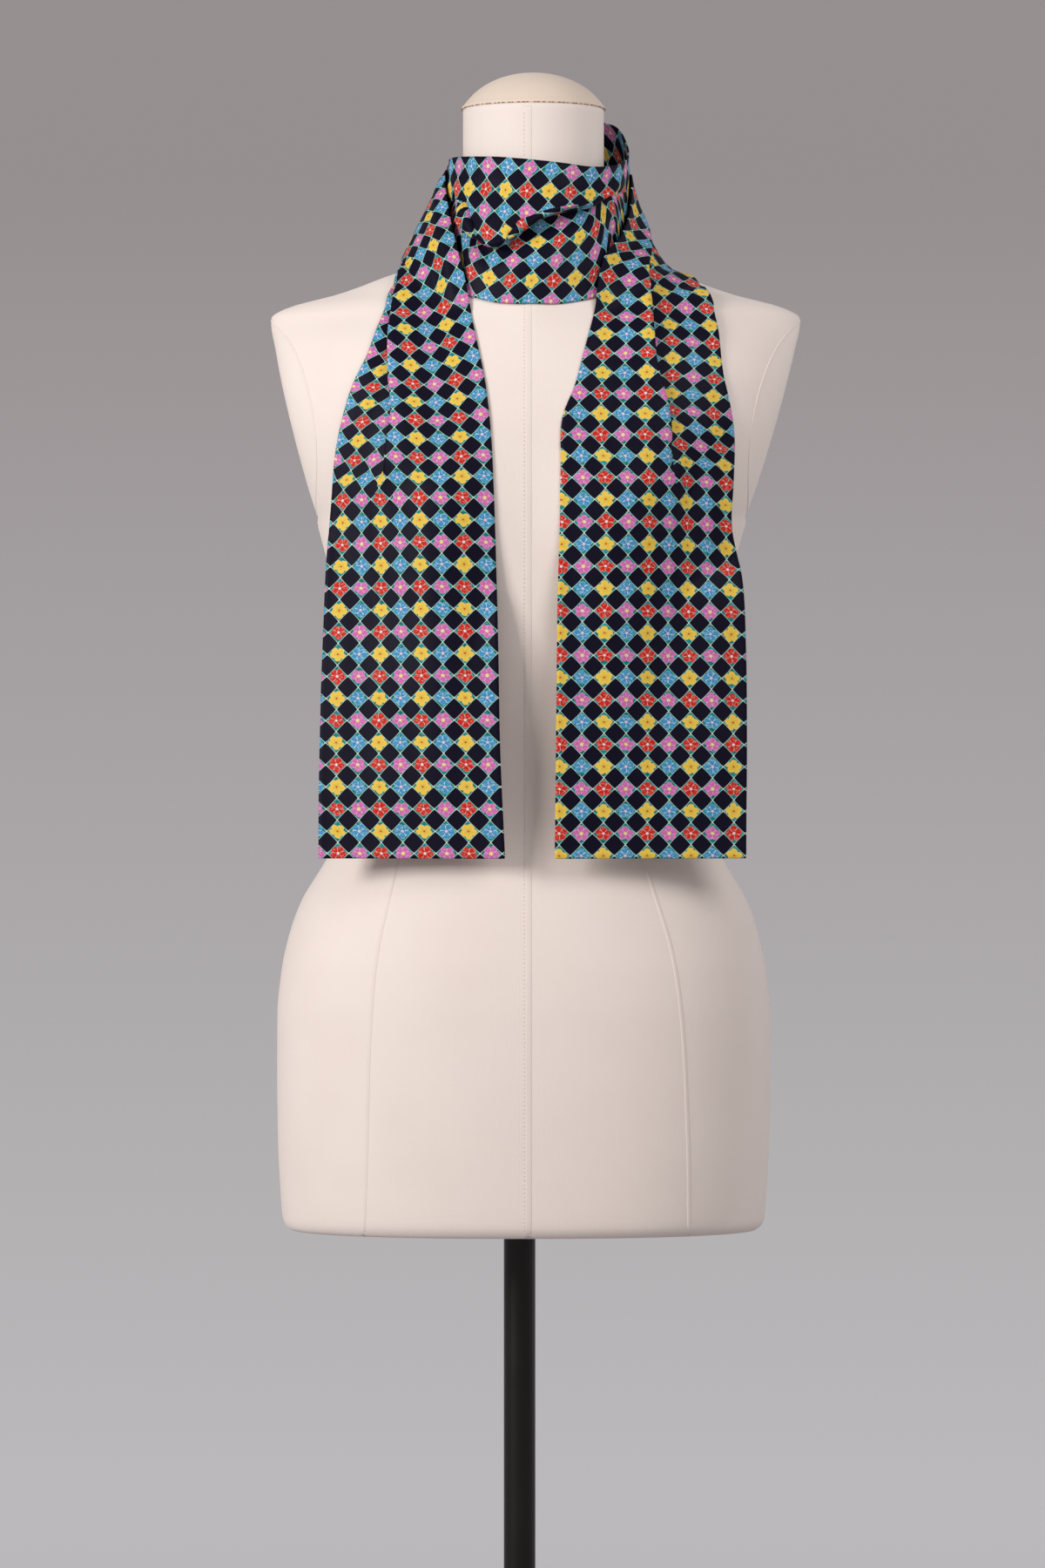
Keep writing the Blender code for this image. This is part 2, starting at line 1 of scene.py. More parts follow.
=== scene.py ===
# %% [markdown]
# A narrow silk scarf is wound once round the neck of a limbless dress form on a stand. The scarf is one
# strip of printed twill, so here it is one thin sheet that follows its own path from hem to hem. The form
# is a padded shell covered with cream cloth. All sizes are in metres, and +Z is up.

# %% The frame
import math

import bpy
import numpy as np
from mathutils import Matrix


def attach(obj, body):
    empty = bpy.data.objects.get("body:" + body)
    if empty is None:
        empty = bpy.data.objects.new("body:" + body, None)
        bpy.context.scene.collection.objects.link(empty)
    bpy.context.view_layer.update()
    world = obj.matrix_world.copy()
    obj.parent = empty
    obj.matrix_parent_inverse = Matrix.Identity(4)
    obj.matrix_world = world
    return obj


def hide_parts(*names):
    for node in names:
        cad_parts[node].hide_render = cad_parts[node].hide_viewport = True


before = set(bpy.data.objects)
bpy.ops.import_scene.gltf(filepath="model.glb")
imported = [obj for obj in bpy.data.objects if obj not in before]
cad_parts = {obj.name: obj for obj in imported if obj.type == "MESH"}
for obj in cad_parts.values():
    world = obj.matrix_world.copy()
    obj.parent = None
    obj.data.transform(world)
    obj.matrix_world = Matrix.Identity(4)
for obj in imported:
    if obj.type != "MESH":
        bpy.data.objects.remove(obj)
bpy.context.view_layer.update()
print("nodes in the frame:", sorted(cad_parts))

# %% [markdown]
# The photograph was taken from far away with a level camera, so upright lines stay upright. A long lens
# at four and a half metres gives the same flat look. The lens follows from the size of one pixel at the
# stand's pole, which makes it easy to check a place in the photograph against a place on the object.

# %% Camera
PIXEL = 0.000662
CAMERA_AWAY = 4.5
CAMERA_SIDE = 0.0022
CAMERA_HEIGHT = 1.10
PHOTO_HEIGHT = 1800
SENSOR = 36.0


def add_object(name, data):
    """A new object, linked to the scene."""
    made = bpy.data.objects.new(name, data)
    bpy.context.scene.collection.objects.link(made)
    return made


def make_camera():
    """The camera that sees what the photograph shows."""
    data = bpy.data.cameras.new("camera")
    data.sensor_width = SENSOR
    data.lens = SENSOR * CAMERA_AWAY / (PHOTO_HEIGHT * PIXEL)
    camera = add_object("camera", data)
    camera.location = (CAMERA_SIDE, -CAMERA_AWAY, CAMERA_HEIGHT)
    camera.rotation_euler = (math.pi / 2, 0.0, 0.0)
    bpy.context.scene.camera = camera
    return camera


camera = make_camera()
print("lens in millimetres:", round(camera.data.lens, 1))

# %% [markdown] The stand needs a floor to stand on and to catch its shadow. A plane would show its corners
# from above, so it is a wide pale disc.

# %% The floor
FLOOR_RADIUS = 3.2
FLOOR_SIDES = 96
FLOOR_PAINT = (0.50, 0.49, 0.50, 1.0)
FLOOR_ROUGHNESS = 0.7


def make_floor():
    """A pale round floor that isn't part of the object."""
    angles = [2 * math.pi * side / FLOOR_SIDES for side in range(FLOOR_SIDES)]
    rim = [(FLOOR_RADIUS * math.cos(angle), FLOOR_RADIUS * math.sin(angle), 0.0) for angle in angles]
    mesh = bpy.data.meshes.new("floor")
    mesh.from_pydata(rim, [], [list(range(FLOOR_SIDES))])
    floor = add_object("floor", mesh)
    pale = bpy.data.materials.new("floor_paint")
    pale.use_nodes = True
    shader = pale.node_tree.nodes["Principled BSDF"]
    shader.inputs["Base Color"].default_value = FLOOR_PAINT
    shader.inputs["Roughness"].default_value = FLOOR_ROUGHNESS
    mesh.materials.append(pale)
    return floor


floor = make_floor()
print("floor across, in metres:", 2 * FLOOR_RADIUS, "with the name", floor.name)

# %% [markdown]
# The photograph has a plain grey backdrop, lighter towards its lower edge. A wall would have to be huge, so
# the world itself is the backdrop: a ramp from straight down to straight up gives each height its grey.

# %% The surroundings
# height, from 0 straight down to 1 straight up, and the grey there
SURROUNDINGS = (
    (0.30, (0.24, 0.23, 0.24, 1.0)),
    (0.44, (0.500, 0.487, 0.500, 1.0)),
    (0.55, (0.305, 0.275, 0.280, 1.0)),
    (0.75, (0.30, 0.29, 0.30, 1.0)),
)


def make_surroundings():
    """A grey world that is lightest just below the horizon."""
    world = bpy.data.worlds.new("studio")
    bpy.context.scene.world = world
    world.use_nodes = True
    tree = world.node_tree
    ramp = tree.nodes.new("ShaderNodeValToRGB")
    for height, _ in SURROUNDINGS[2:]:
        ramp.color_ramp.elements.new(height)
    for element, (height, colour) in zip(ramp.color_ramp.elements, SURROUNDINGS):
        element.position = height
        element.color = colour
    place = tree.nodes.new("ShaderNodeTexCoord")
    split = tree.nodes.new("ShaderNodeSeparateXYZ")
    half = tree.nodes.new("ShaderNodeMath")
    half.operation = "MULTIPLY_ADD"
    half.inputs[1].default_value = 0.5
    half.inputs[2].default_value = 0.5
    tree.links.new(place.outputs["Generated"], split.inputs[0])
    tree.links.new(split.outputs["Z"], half.inputs[0])
    tree.links.new(half.outputs[0], ramp.inputs[0])
    tree.links.new(ramp.outputs[0], tree.nodes["Background"].inputs["Color"])
    tree.nodes["Background"].inputs["Strength"].default_value = 1.0


make_surroundings()
print("greys in the surroundings:", len(SURROUNDINGS))

# %% [markdown]
# Soft light comes from the viewer's left and throws the tails' soft shadows to the right. A sun lamp would
# make them hard, so three square area lamps do it: a strong one on the left, a weak one high on the right
# that keeps the shape of the far side, and a weak one behind on the right for the form's edge.

# %% The lamps
CHEST = (0.0, 0.0, 1.25)
COLLAR = (0.0, 0.0, 1.40)
SHOULDERS = (0.12, 0.0, 1.48)
# name, place, aim, size in metres, power in watts, colour
LAMPS = (
    ("key_light", (-2.25, -1.85, 2.05), COLLAR, 1.1, 65.0, (1.0, 0.985, 0.965)),
    ("fill_light", (1.0, -1.3, 2.35), SHOULDERS, 1.0, 13.0, (1.0, 0.985, 0.985)),
    ("edge_light", (3.0, 1.3, 1.5), CHEST, 1.2, 10.0, (0.98, 0.98, 1.0)),
)


def soft_light(name, place, aim, size, power, colour):
    """A square lamp that shines from a place towards a point."""
    data = bpy.data.lights.new(name, "AREA")
    data.size = size
    data.energy = power
    data.color = colour
    lamp = add_object(name, data)
    lamp.location = place
    way = np.array(aim) - np.array(place)
    turn = math.atan2(way[1], way[0])
    tilt = math.atan2(math.hypot(way[0], way[1]), -way[2])
    lamp.rotation_euler = (tilt, 0.0, turn - math.pi / 2)
    return lamp


for lamp in LAMPS:
    soft_light(*lamp)
bpy.context.scene.view_settings.view_transform = "Standard"

# %% [markdown]
# A print is a rule that gives each place of the cloth its ink, so it can be written as sums. Blender does
# sums with one maths node each, which is slow to read. A small class with signs of its own keeps the rule
# readable: each sign adds the node that it stands for.

# %% Sums on a surface
class Number:
    """A number that changes over a surface, worked out by nodes."""

    def __init__(self, tree, source):
        self.tree = tree
        self.source = source

    def maths(self, operation, *others):
        """One maths node of this number and others, which may be plain."""
        node = self.tree.nodes.new("ShaderNodeMath")
        node.operation = operation
        for place, value in enumerate((self, *others)):
            feed(self.tree, node.inputs[place], value)
        return Number(self.tree, node.outputs[0])

    def __add__(self, other):
        return self.maths("ADD", other)

    def __sub__(self, other):
        return self.maths("SUBTRACT", other)

    def __mul__(self, other):
        return self.maths("MULTIPLY", other)

    def __truediv__(self, other):
        return self.maths("DIVIDE", other)

    def size(self):
        """The number without its sign."""
        return self.maths("ABSOLUTE")

    def odd(self):
        """One where a whole number is odd, and zero where it is even."""
        return self.maths("PINGPONG", 1.0)

    def waved(self):
        """A wave from the number as an angle, brought between zero and one."""
        return self.maths("SINE") * 0.5 + 0.5

    def lobed(self):
        """The same wave, a quarter turn ahead."""
        return self.maths("COSINE") * 0.5 + 0.5

    def rise(self, low, high):
        """A soft step from zero to one between two values. The first may be the higher one."""
        node = self.tree.nodes.new("ShaderNodeMapRange")
        node.interpolation_type = "SMOOTHSTEP"
        feed(self.tree, node.inputs["Value"], self)
        node.inputs["From Min"].default_value = low
        node.inputs["From Max"].default_value = high
        return Number(self.tree, node.outputs["Result"])


def feed(tree, socket, value):
    """Gives a socket its value: a number or colour from nodes, or a plain one."""
    if isinstance(value, Number):
        tree.links.new(value.source, socket)
    elif isinstance(value, bpy.types.NodeSocket):
        tree.links.new(value, socket)
    else:
        socket.default_value = value


print("a number can be:", [name for name in vars(Number) if not name.startswith("_")])

# %% [markdown]
# A finish needs more than sums: a colour between two colours, uneven patches and fine relief. Each is one
# or two nodes with the same few settings every time, so each gets a small helper. A colour is given as it
# looks on a screen, which is easier to read than the amounts of light that Blender works with.

# %% Colours, patches and relief
LIGHT_CURVE = 2.4


def mixed(tree, share, first, second):
    """A colour between two colours."""
    node = tree.nodes.new("ShaderNodeMix")
    node.data_type = "RGBA"
    feed(tree, node.inputs[0], share)
    feed(tree, node.inputs[6], first)
    feed(tree, node.inputs[7], second)
    return node.outputs[2]


def ink(red, green, blue):
    """A colour as a screen shows it, from 0 to 255, turned into the light that it stands for."""
    return (*[(value / 255) ** LIGHT_CURVE for value in (red, green, blue)], 1.0)


def noise(tree, place, scale, detail=2.0):
    """Soft uneven patches from 0 to 1."""
    node = tree.nodes.new("ShaderNodeTexNoise")
    node.inputs["Scale"].default_value = scale
    node.inputs["Detail"].default_value = detail
    tree.links.new(place, node.inputs["Vector"])
    return Number(tree, node.outputs["Fac"])


def new_finish(name, roughness):
    """A material with its node tree and its shader."""
    made = bpy.data.materials.new(name)
    made.use_nodes = True
    shader = made.node_tree.nodes["Principled BSDF"]
    shader.inputs["Roughness"].default_value = roughness
    return made, made.node_tree, shader


def raised(tree, shader, height, distance, strength):
    """Fine relief on a shader, from a height between 0 and 1 and its full size in metres."""
    bump = tree.nodes.new("ShaderNodeBump")
    bump.inputs["Distance"].default_value = distance
    bump.inputs["Strength"].default_value = strength
    feed(tree, bump.inputs["Height"], height)
    tree.links.new(bump.outputs[0], shader.inputs["Normal"])


print("one ink:", [round(value, 3) for value in ink(20, 140, 135)])

# %% [markdown]
# The print is a diamond check. Near-black diamonds lie between diamonds that each hold one small flower,
# in four inks that take turns: yellow and blue in one row, red and pink in the next. Mint lines run along
# the diamonds. An image could hold all this, but it would blur close up, so the print is drawn by formulas.
# Its inks and measures come first. A measure of the print is a share of one repeat.

# %% The print's inks and measures
SCARF_WIDTH = 0.140
REPEAT = 0.0165
MAP = "cloth"
NAVY = ink(25, 20, 38)
TEAL = ink(26, 148, 150)
LEAF = ink(12, 112, 104)
MINT = ink(134, 216, 208)
PALE_LINE = ink(226, 242, 226)
PETALS = (ink(246, 208, 84), ink(74, 156, 204), ink(214, 48, 30), ink(218, 120, 186))
PETAL_EDGES = (ink(252, 232, 150), ink(214, 240, 244), ink(250, 206, 190), ink(248, 208, 232))
HEARTS = (ink(206, 80, 34), ink(250, 216, 224), ink(246, 236, 232), ink(248, 236, 150))
HEART_SIZES = (0.045, 0.062, 0.060, 0.080)
DIAMOND_ROUNDING = 1.07
TWILL = 0.0012


def by_kind(tree, column, row, four):
    """One of four colours, by whether the column and the row of a flower are odd."""
    first = mixed(tree, column, four[0], four[1])
    second = mixed(tree, column, four[2], four[3])
    return mixed(tree, row, first, second)


def number_by_kind(column, row, four):
    """One of four plain numbers, by whether the column and the row of a flower are odd."""
    first = column * (four[1] - four[0]) + four[0]
    second = column * (four[3] - four[2]) + four[2]
    return first + (second - first) * row


def cloth_place(tree, scale):
    """Across and along the cloth, in the given unit."""
    pin = tree.nodes.new("ShaderNodeUVMap")
    pin.uv_map = MAP
    split = tree.nodes.new("ShaderNodeSeparateXYZ")
    tree.links.new(pin.outputs[0], split.inputs[0])
    across = Number(tree, split.outputs["X"]) / scale
    along = Number(tree, split.outputs["Y"]) / scale
    return pin.outputs[0], across, along


print("repeats across the scarf:", round(SCARF_WIDTH / REPEAT, 2))

# %% [markdown]
# A printed flower has five blunt petals with pale lines between them, a pale rim, a few brush marks and a
# small heart. Its edge is a circle that swells five times on the way round, so one formula draws all the
# flowers, and no two kinds need a drawing of their own. Every second pair leans and stretches differently.

# %% One flower
PETAL_COUNT = 5
PETAL_FOOT = 0.25
PETAL_REACH = 0.15
PETAL_BLUNTNESS = 0.32
PETAL_SOFTNESS = 0.014
PAINTED = 0.05
# how much flatter a flower is, how far it leans back and where its first petal is, and how much each of
# these grows in every second pair
FLATTER, FLATTER_MORE = 1.06, 0.22
LEAN_BACK, LEAN_MORE = 0.12, 0.45
FIRST_PETAL, PETAL_TURN = 1.57, 1.3
VEINS_TO_A_PETAL = 4
VEIN_SHADE = 0.25
VEIN_INK = (0.05, 0.01, 0.02, 1.0)
RIM_SHARE = 0.40
MARK_SHARE = 0.45
PALE_SHARES = (0.50, 0.95, 0.70, 0.72)
HEART_LOBED = 0.25
# Each pair says where a soft step begins and ends: on a wave, on the brush's noise, or in repeats from a
# petal's edge, the flower's middle or the heart's edge.
BETWEEN_PETALS = (0.86, 0.995)
BETWEEN_STARTS = (0.04, 0.10)
RIM_STARTS = (0.035, 0.005)
MARKS = (0.52, 0.66)
MARKS_START = (0.08, 0.20)
VEINS_END = (0.26, 0.08)
HEART_EDGE = (-0.018, 0.012)


def flower(tree, beside, above, column, row, turned, brush):
    """A flower's colours and how much of a place it covers. The brush makes its edges uneven."""
    stretch = turned * FLATTER_MORE + FLATTER
    lean = turned * LEAN_MORE - LEAN_BACK
    swung_x = beside * lean.maths("COSINE") + above * lean.maths("SINE")
    swung_y = (above * lean.maths("COSINE") - beside * lean.maths("SINE")) * stretch
    radius = (swung_x * swung_x + swung_y * swung_y).maths("SQRT")
    angle = swung_y.maths("ARCTAN2", swung_x)
    lobes = (angle * PETAL_COUNT + turned * PETAL_TURN + FIRST_PETAL).maths("COSINE")
    blunt = (lobes * 0.5 + 0.5).maths("POWER", PETAL_BLUNTNESS)
    inside = blunt * PETAL_REACH + PETAL_FOOT + (brush - 0.5) * (PAINTED * 2) - radius
    petals = inside.rise(-PETAL_SOFTNESS, PETAL_SOFTNESS)
    veins = (angle * (PETAL_COUNT * VEINS_TO_A_PETAL)).lobed()
    between = (lobes * -1.0).rise(*BETWEEN_PETALS) * radius.rise(*BETWEEN_STARTS)
    rim = inside.rise(*RIM_STARTS)
    marks = brush.rise(*MARKS) * radius.rise(*MARKS_START)
    pale = (between + rim * RIM_SHARE + marks * MARK_SHARE).maths("MINIMUM", 1.0)
    colour = by_kind(tree, column, row, PETALS)
    veined = mixed(tree, veins * radius.rise(*VEINS_END) * VEIN_SHADE, colour, VEIN_INK)
    edged = mixed(tree, pale * number_by_kind(column, row, PALE_SHARES), veined,
                  by_kind(tree, column, row, PETAL_EDGES))
    heart_size = number_by_kind(column, row, HEART_SIZES) * (lobes * HEART_LOBED + 1.0)
    heart = (heart_size - radius).rise(*HEART_EDGE)
    return mixed(tree, heart, edged, by_kind(tree, column, row, HEARTS)), petals


print("veins in a flower:", PETAL_COUNT * VEINS_TO_A_PETAL)

# Silk twill has fine slanting ribs and a soft sheen. The ribs get painted shade, a darker line in the
# colour along each rib, and a low relief, which needs far fewer faces than real threads.

# %% The print
SILK_ROUGHNESS = 0.52
SILK_SPECULAR = 0.09
BRUSH_SCALE = 640.0
BRUSH_DETAIL = 1.5
PATCH_SCALE = 260.0
PATCH_EDGES = (0.42, 0.60)
STROKE_SCALE = 520.0
STROKE_EDGES = (0.56, 0.66)
STROKE_SHARE = 0.5
LINE_STARTS = (0.462, 0.480)
LINE_PALES = (0.36, 0.50)
LINE_PALE_SHARE = 0.7
LINE_PALE_LEAST = 0.30
DARK_STARTS = (0.491, 0.470)
PAST_WHOLE = 0.01
# painted shade along the twill's ribs: how much of it, and its dark colour
RIB_SHADE = 0.28
RIB_SHADOW_COLOUR = (0.01, 0.01, 0.03, 1.0)
RIB_RISE = 0.00005
RIB_STRENGTH = 0.5


def make_print():
    """Printed silk twill: the diamond check with its flowers, and a fine slanting weave."""
    made, tree, shader = new_finish("printed_silk", SILK_ROUGHNESS)
    place, across, along = cloth_place(tree, REPEAT)
    column_at = across.maths("ROUND")
    row_at = along.maths("ROUND")
    beside = across - column_at
    above = along - row_at
    column = column_at.odd()
    row = row_at.odd()
    pair_across = (column_at * 0.5 + PAST_WHOLE).maths("FLOOR")
    pairs = pair_across + (row_at * 0.5 + PAST_WHOLE).maths("FLOOR")
    brush = noise(tree, place, BRUSH_SCALE, BRUSH_DETAIL)
    petal_colour, petals = flower(tree, beside, above, column, row, pairs.odd(), brush)
    steps = beside.size() + above.size()
    patches = noise(tree, place, PATCH_SCALE)
    ground = mixed(tree, patches.rise(*PATCH_EDGES), TEAL, LEAF)
    strokes = noise(tree, place, STROKE_SCALE, 1.0)
    ground = mixed(tree, strokes.rise(*STROKE_EDGES) * STROKE_SHARE, ground, MINT)
    drawn = mixed(tree, petals, ground, petal_colour)
    crossing = beside.size().maths("MAXIMUM", above.size()).rise(*LINE_PALES)
    line = mixed(tree, crossing * LINE_PALE_SHARE + LINE_PALE_LEAST, MINT, PALE_LINE)
    lined = mixed(tree, steps.rise(*LINE_STARTS), drawn, line)
    rest_x = (beside.size() * -1.0 + 0.5).maths("POWER", DIAMOND_ROUNDING)
    rest_y = (above.size() * -1.0 + 0.5).maths("POWER", DIAMOND_ROUNDING)
    rounded = (rest_x + rest_y).maths("POWER", 1 / DIAMOND_ROUNDING)
    dark = rounded.rise(*DARK_STARTS)
    inked = mixed(tree, dark, lined, NAVY)
    ribs = ((across + along) * (math.pi * 2 * REPEAT / TWILL)).waved()
    # painted shade: the colour darkens along each slanting rib
    shaded = mixed(tree, ribs * RIB_SHADE, inked, RIB_SHADOW_COLOUR)
    tree.links.new(shaded, shader.inputs["Base Color"])
    shader.inputs["Specular IOR Level"].default_value = SILK_SPECULAR
    raised(tree, shader, ribs, RIB_RISE, RIB_STRENGTH)
    return made


printed_silk = make_print()
print("nodes in the print:", len(printed_silk.node_tree.nodes))

# %% [markdown]
# The form's cover is a matt stretch cloth, warm white, with fine threads that only show close up. The
# neck's cap is covered with a slightly yellower canvas. The stand is steel with a dark satin coat. A plain
# colour would look like paint, so each finish gets a weave or patches in its colour and in its relief.

# %% Plain finishes
COVER_ROUGHNESS = 0.88
COVER_SPECULAR = 0.25
COVER_SHEEN = 0.25
SHEEN_ROUGHNESS = 0.6
PICK_SHARE = 0.6
FUZZ_SCALE = 900.0
FUZZ_SHARE = 0.5
WEAR_SCALE = 14.0
WEAR_DETAIL = 3.0
WEAR_EDGES = (0.35, 0.75)
WEAR_SHARE = 0.25
WEAVE_SHARE = 0.08
WEAVE_RISE = 0.00006
WEAVE_STRENGTH = 0.6
# name, colour, deeper colour, then the step from thread to thread across and along in metres
COVER_FINISHES = (
    ("cover_cloth", ink(238, 226, 218), ink(230, 214, 205), 0.0011, 0.0009),
    ("cap_cloth", ink(228, 211, 194), ink(216, 197, 178), 0.0008, 0.0008),
    # the seams are a little darker than the cover: partly their stitching, partly painted shade along the
    # ridges
    ("seam_cloth", ink(235, 223, 215), ink(227, 211, 203), 0.0009, 0.0012),
)
METAL_ROUGHNESS = 0.40
METAL_SPECULAR = 0.30
METAL_COLOURS = ((0.0045, 0.0030, 0.0026, 1.0), (0.0080, 0.0055, 0.0046, 1.0))
METAL_PATCHES = 22.0
METAL_DETAIL = 4.0
METAL_SMOOTHEST = 0.28
METAL_ROUGHER = 0.22
METAL_GRAIN = 700.0
METAL_RISE = 0.00004
METAL_STRENGTH = 0.6


def make_cover_finish(name, colour, deeper, across_step, along_step):
    """A matt woven cloth with two sets of fine threads and faint uneven patches."""
    made, tree, shader = new_finish(name, COVER_ROUGHNESS)
    place, across, along = cloth_place(tree, 1.0)
    threads = (across * (math.pi * 2 / across_step)).maths("SINE") * 0.5
    picks = (along * (math.pi * 2 / along_step)).maths("SINE") * 0.5
    weave = threads + picks * PICK_SHARE + noise(tree, place, FUZZ_SCALE) * FUZZ_SHARE
    patches = noise(tree, place, WEAR_SCALE, WEAR_DETAIL).rise(*WEAR_EDGES)
    tinted = mixed(tree, patches * WEAR_SHARE + weave * WEAVE_SHARE, colour, deeper)
    tree.links.new(tinted, shader.inputs["Base Color"])
    shader.inputs["Specular IOR Level"].default_value = COVER_SPECULAR
    shader.inputs["Sheen Weight"].default_value = COVER_SHEEN
    shader.inputs["Sheen Roughness"].default_value = SHEEN_ROUGHNESS
    raised(tree, shader, weave, WEAVE_RISE, WEAVE_STRENGTH)
    return made


def make_dark_metal():
    """Steel with a nearly black satin coat, worn a little smoother in patches."""
    made, tree, shader = new_finish("dark_metal", METAL_ROUGHNESS)
    shader.inputs["Specular IOR Level"].default_value = METAL_SPECULAR
    pin = tree.nodes.new("ShaderNodeTexCoord")
    patches = noise(tree, pin.outputs["Object"], METAL_PATCHES, METAL_DETAIL)
    tree.links.new(mixed(tree, patches, *METAL_COLOURS), shader.inputs["Base Color"])
    tree.links.new((patches * METAL_ROUGHER + METAL_SMOOTHEST).source, shader.inputs["Roughness"])
    raised(tree, shader, noise(tree, pin.outputs["Object"], METAL_GRAIN), METAL_RISE, METAL_STRENGTH)
    return made


cover_cloth, cap_cloth, seam_cloth = (make_cover_finish(*finish) for finish in COVER_FINISHES)
dark_metal = make_dark_metal()
print("plain finishes:", cover_cloth.name, cap_cloth.name, seam_cloth.name, dark_metal.name)

# %% [markdown]
# The form is a stack of soft rounded sections. Each section is half an oval in front and half an oval
# behind, and its squareness says how boxy it is. The sides of the chest end in flat plates where a real
# form has its armholes. The same sizes shape the plain solid of the frame, so the finer one fits it.

# %% Sections of the form
HIP_UNDERSIDE = 0.7625
NECK_TOP = 1.6115
NECK_X = 0.0105
NECK_Y = 0.0010
NECK_RADIUS = 0.0560
UNDERARM = 1.300
SHOULDER_TIP = 1.454
PLATE_BULGE = 0.014
PLATE_ROUND = 0.003
BUST_HEIGHT = 1.295
BUST_OUT = 0.078
BUST_RISE = 0.014
BUST_WIDE = 0.045
BUST_TALL = 0.050
CHEST_TOP = 1.460
WAIST_HEIGHT = 1.115

# height, half width, depth in front, depth behind, squareness, middle
FORM_SECTIONS = np.array((
    (0.7625, 0.1765, 0.1070, 0.1100, 2.30, 0.0030),
    (0.7655, 0.1805, 0.1105, 0.1140, 2.30, 0.0030),
    (0.7710, 0.1828, 0.1130, 0.1165, 2.30, 0.0030),
    (0.7920, 0.1845, 0.1145, 0.1185, 2.32, 0.0030),
    (0.8320, 0.1864, 0.1160, 0.1205, 2.35, 0.0030),
    (0.8850, 0.1870, 0.1168, 0.1215, 2.35, 0.0030),
    (0.9250, 0.1868, 0.1165, 0.1200, 2.35, 0.0030),
    (0.9580, 0.1837, 0.1145, 0.1155, 2.35, 0.0030),
    (0.9840, 0.1784, 0.1110, 0.1090, 2.32, 0.0032),
    (1.0100, 0.1695, 0.1065, 0.1005, 2.30, 0.0035),
    (1.0370, 0.1536, 0.1005, 0.0920, 2.26, 0.0038),
    (1.0600, 0.1405, 0.0955, 0.0855, 2.22, 0.0044),
    (1.0850, 0.1300, 0.0915, 0.0805, 2.20, 0.0052),
    (1.1150, 0.1250, 0.0900, 0.0780, 2.20, 0.0058),
    (1.1500, 0.1275, 0.0930, 0.0790, 2.20, 0.0064),
    (1.2000, 0.1370, 0.1000, 0.0840, 2.22, 0.0074),
    (1.2500, 0.1490, 0.1060, 0.0900, 2.25, 0.0082),
    (1.2850, 0.1589, 0.1085, 0.0940, 2.28, 0.0088),
    (1.3200, 0.1688, 0.1095, 0.0985, 2.30, 0.0094),
    (1.3600, 0.1800, 0.1080, 0.1005, 2.28, 0.0102),
    (1.4000, 0.1905, 0.1010, 0.0980, 2.15, 0.0110),
    (1.4300, 0.1976, 0.0905, 0.0920, 1.85, 0.0118),
    (1.4540, 0.2029, 0.0805, 0.0840, 1.38, 0.0122),
    (1.4575, 0.1996, 0.0790, 0.0825, 1.36, 0.0122),
    (1.4640, 0.1835, 0.0765, 0.0800, 1.35, 0.0121),
    (1.4707, 0.1566, 0.0735, 0.0775, 1.36, 0.0120),
    (1.4773, 0.1364, 0.0710, 0.0750, 1.40, 0.0118),
    (1.4840, 0.1190, 0.0685, 0.0725, 1.47, 0.0116),
    (1.4900, 0.1010, 0.0665, 0.0700, 1.55, 0.0114),
    (1.4960, 0.0850, 0.0645, 0.0680, 1.65, 0.0112),
    (1.5030, 0.0720, 0.0625, 0.0655, 1.78, 0.0110),
    (1.5120, 0.0630, 0.0600, 0.0625, 1.92, 0.0108),
    (1.5240, 0.0580, 0.0580, 0.0600, 2.00, 0.0106),
    (1.5400, 0.0560, 0.0565, 0.0585, 2.00, 0.0105),
    (1.5750, 0.0556, 0.0560, 0.0580, 2.00, 0.0105),
    (1.6115, 0.0556, 0.0560, 0.0580, 2.00, 0.0105),
))


def hermite(table, tangents, index, share, span):
    """Rows part of the way from one row of a table to the next."""
    start = (2 * share**3 - 3 * share**2 + 1) * table[index]
    end = (3 * share**2 - 2 * share**3) * table[index + 1]
    lean = (share**3 - 2 * share**2 + share) * span * tangents[index]
    arrive = (share**3 - share**2) * span * tangents[index + 1]
    return start + end + lean + arrive


def form_slopes(table):
    """Slopes at the form's sections that never overshoot them."""
    spans = np.diff(table[:, 0])[:, None]
    slopes = np.diff(table, axis=0) / spans
    tangents = np.zeros_like(table)
    tangents[0] = slopes[0]
    tangents[-1] = slopes[-1]
    before = slopes[:-1]
    after = slopes[1:]
    same_way = before * after > 0
    both = np.where(same_way, before + after, 1.0)
    tangents[1:-1] = np.where(same_way, 2 * before * after / both, 0.0)
    return tangents


FORM_SLOPES = form_slopes(FORM_SECTIONS)
print("sections of the form:", len(FORM_SECTIONS))

# %% [markdown]
# Between two given sections the surface follows a smooth curve, so no ring shows as a step. The bust is a
# soft bump on each side, and the armhole plates cut the width off with a rounded edge. All of it is one
# function of height and turn. A sculpted mesh could look the same, but the seams and the scarf could not
# ask it where the form is.

# %% The form's surface
def form_section(height):
    """Half width, depth in front, depth behind, squareness and middle at some heights."""
    heights = FORM_SECTIONS[:, 0]
    height = np.clip(height, heights[0], heights[-1])
    index = np.clip(np.searchsorted(heights, height, side="right") - 1, 0, len(heights) - 2)
    span = (heights[index + 1] - heights[index])[..., None]
    share = (height - heights[index])[..., None] / span
    return np.moveaxis(hermite(FORM_SECTIONS, FORM_SLOPES, index, share, span)[..., 1:], -1, 0)


def plate_bulge(height):
    """How far the torso would reach past the flat armhole plate at a height."""
    share = np.clip((height - UNDERARM) / (SHOULDER_TIP - UNDERARM), 0, 1)
    return PLATE_BULGE * np.sin(math.pi * share)


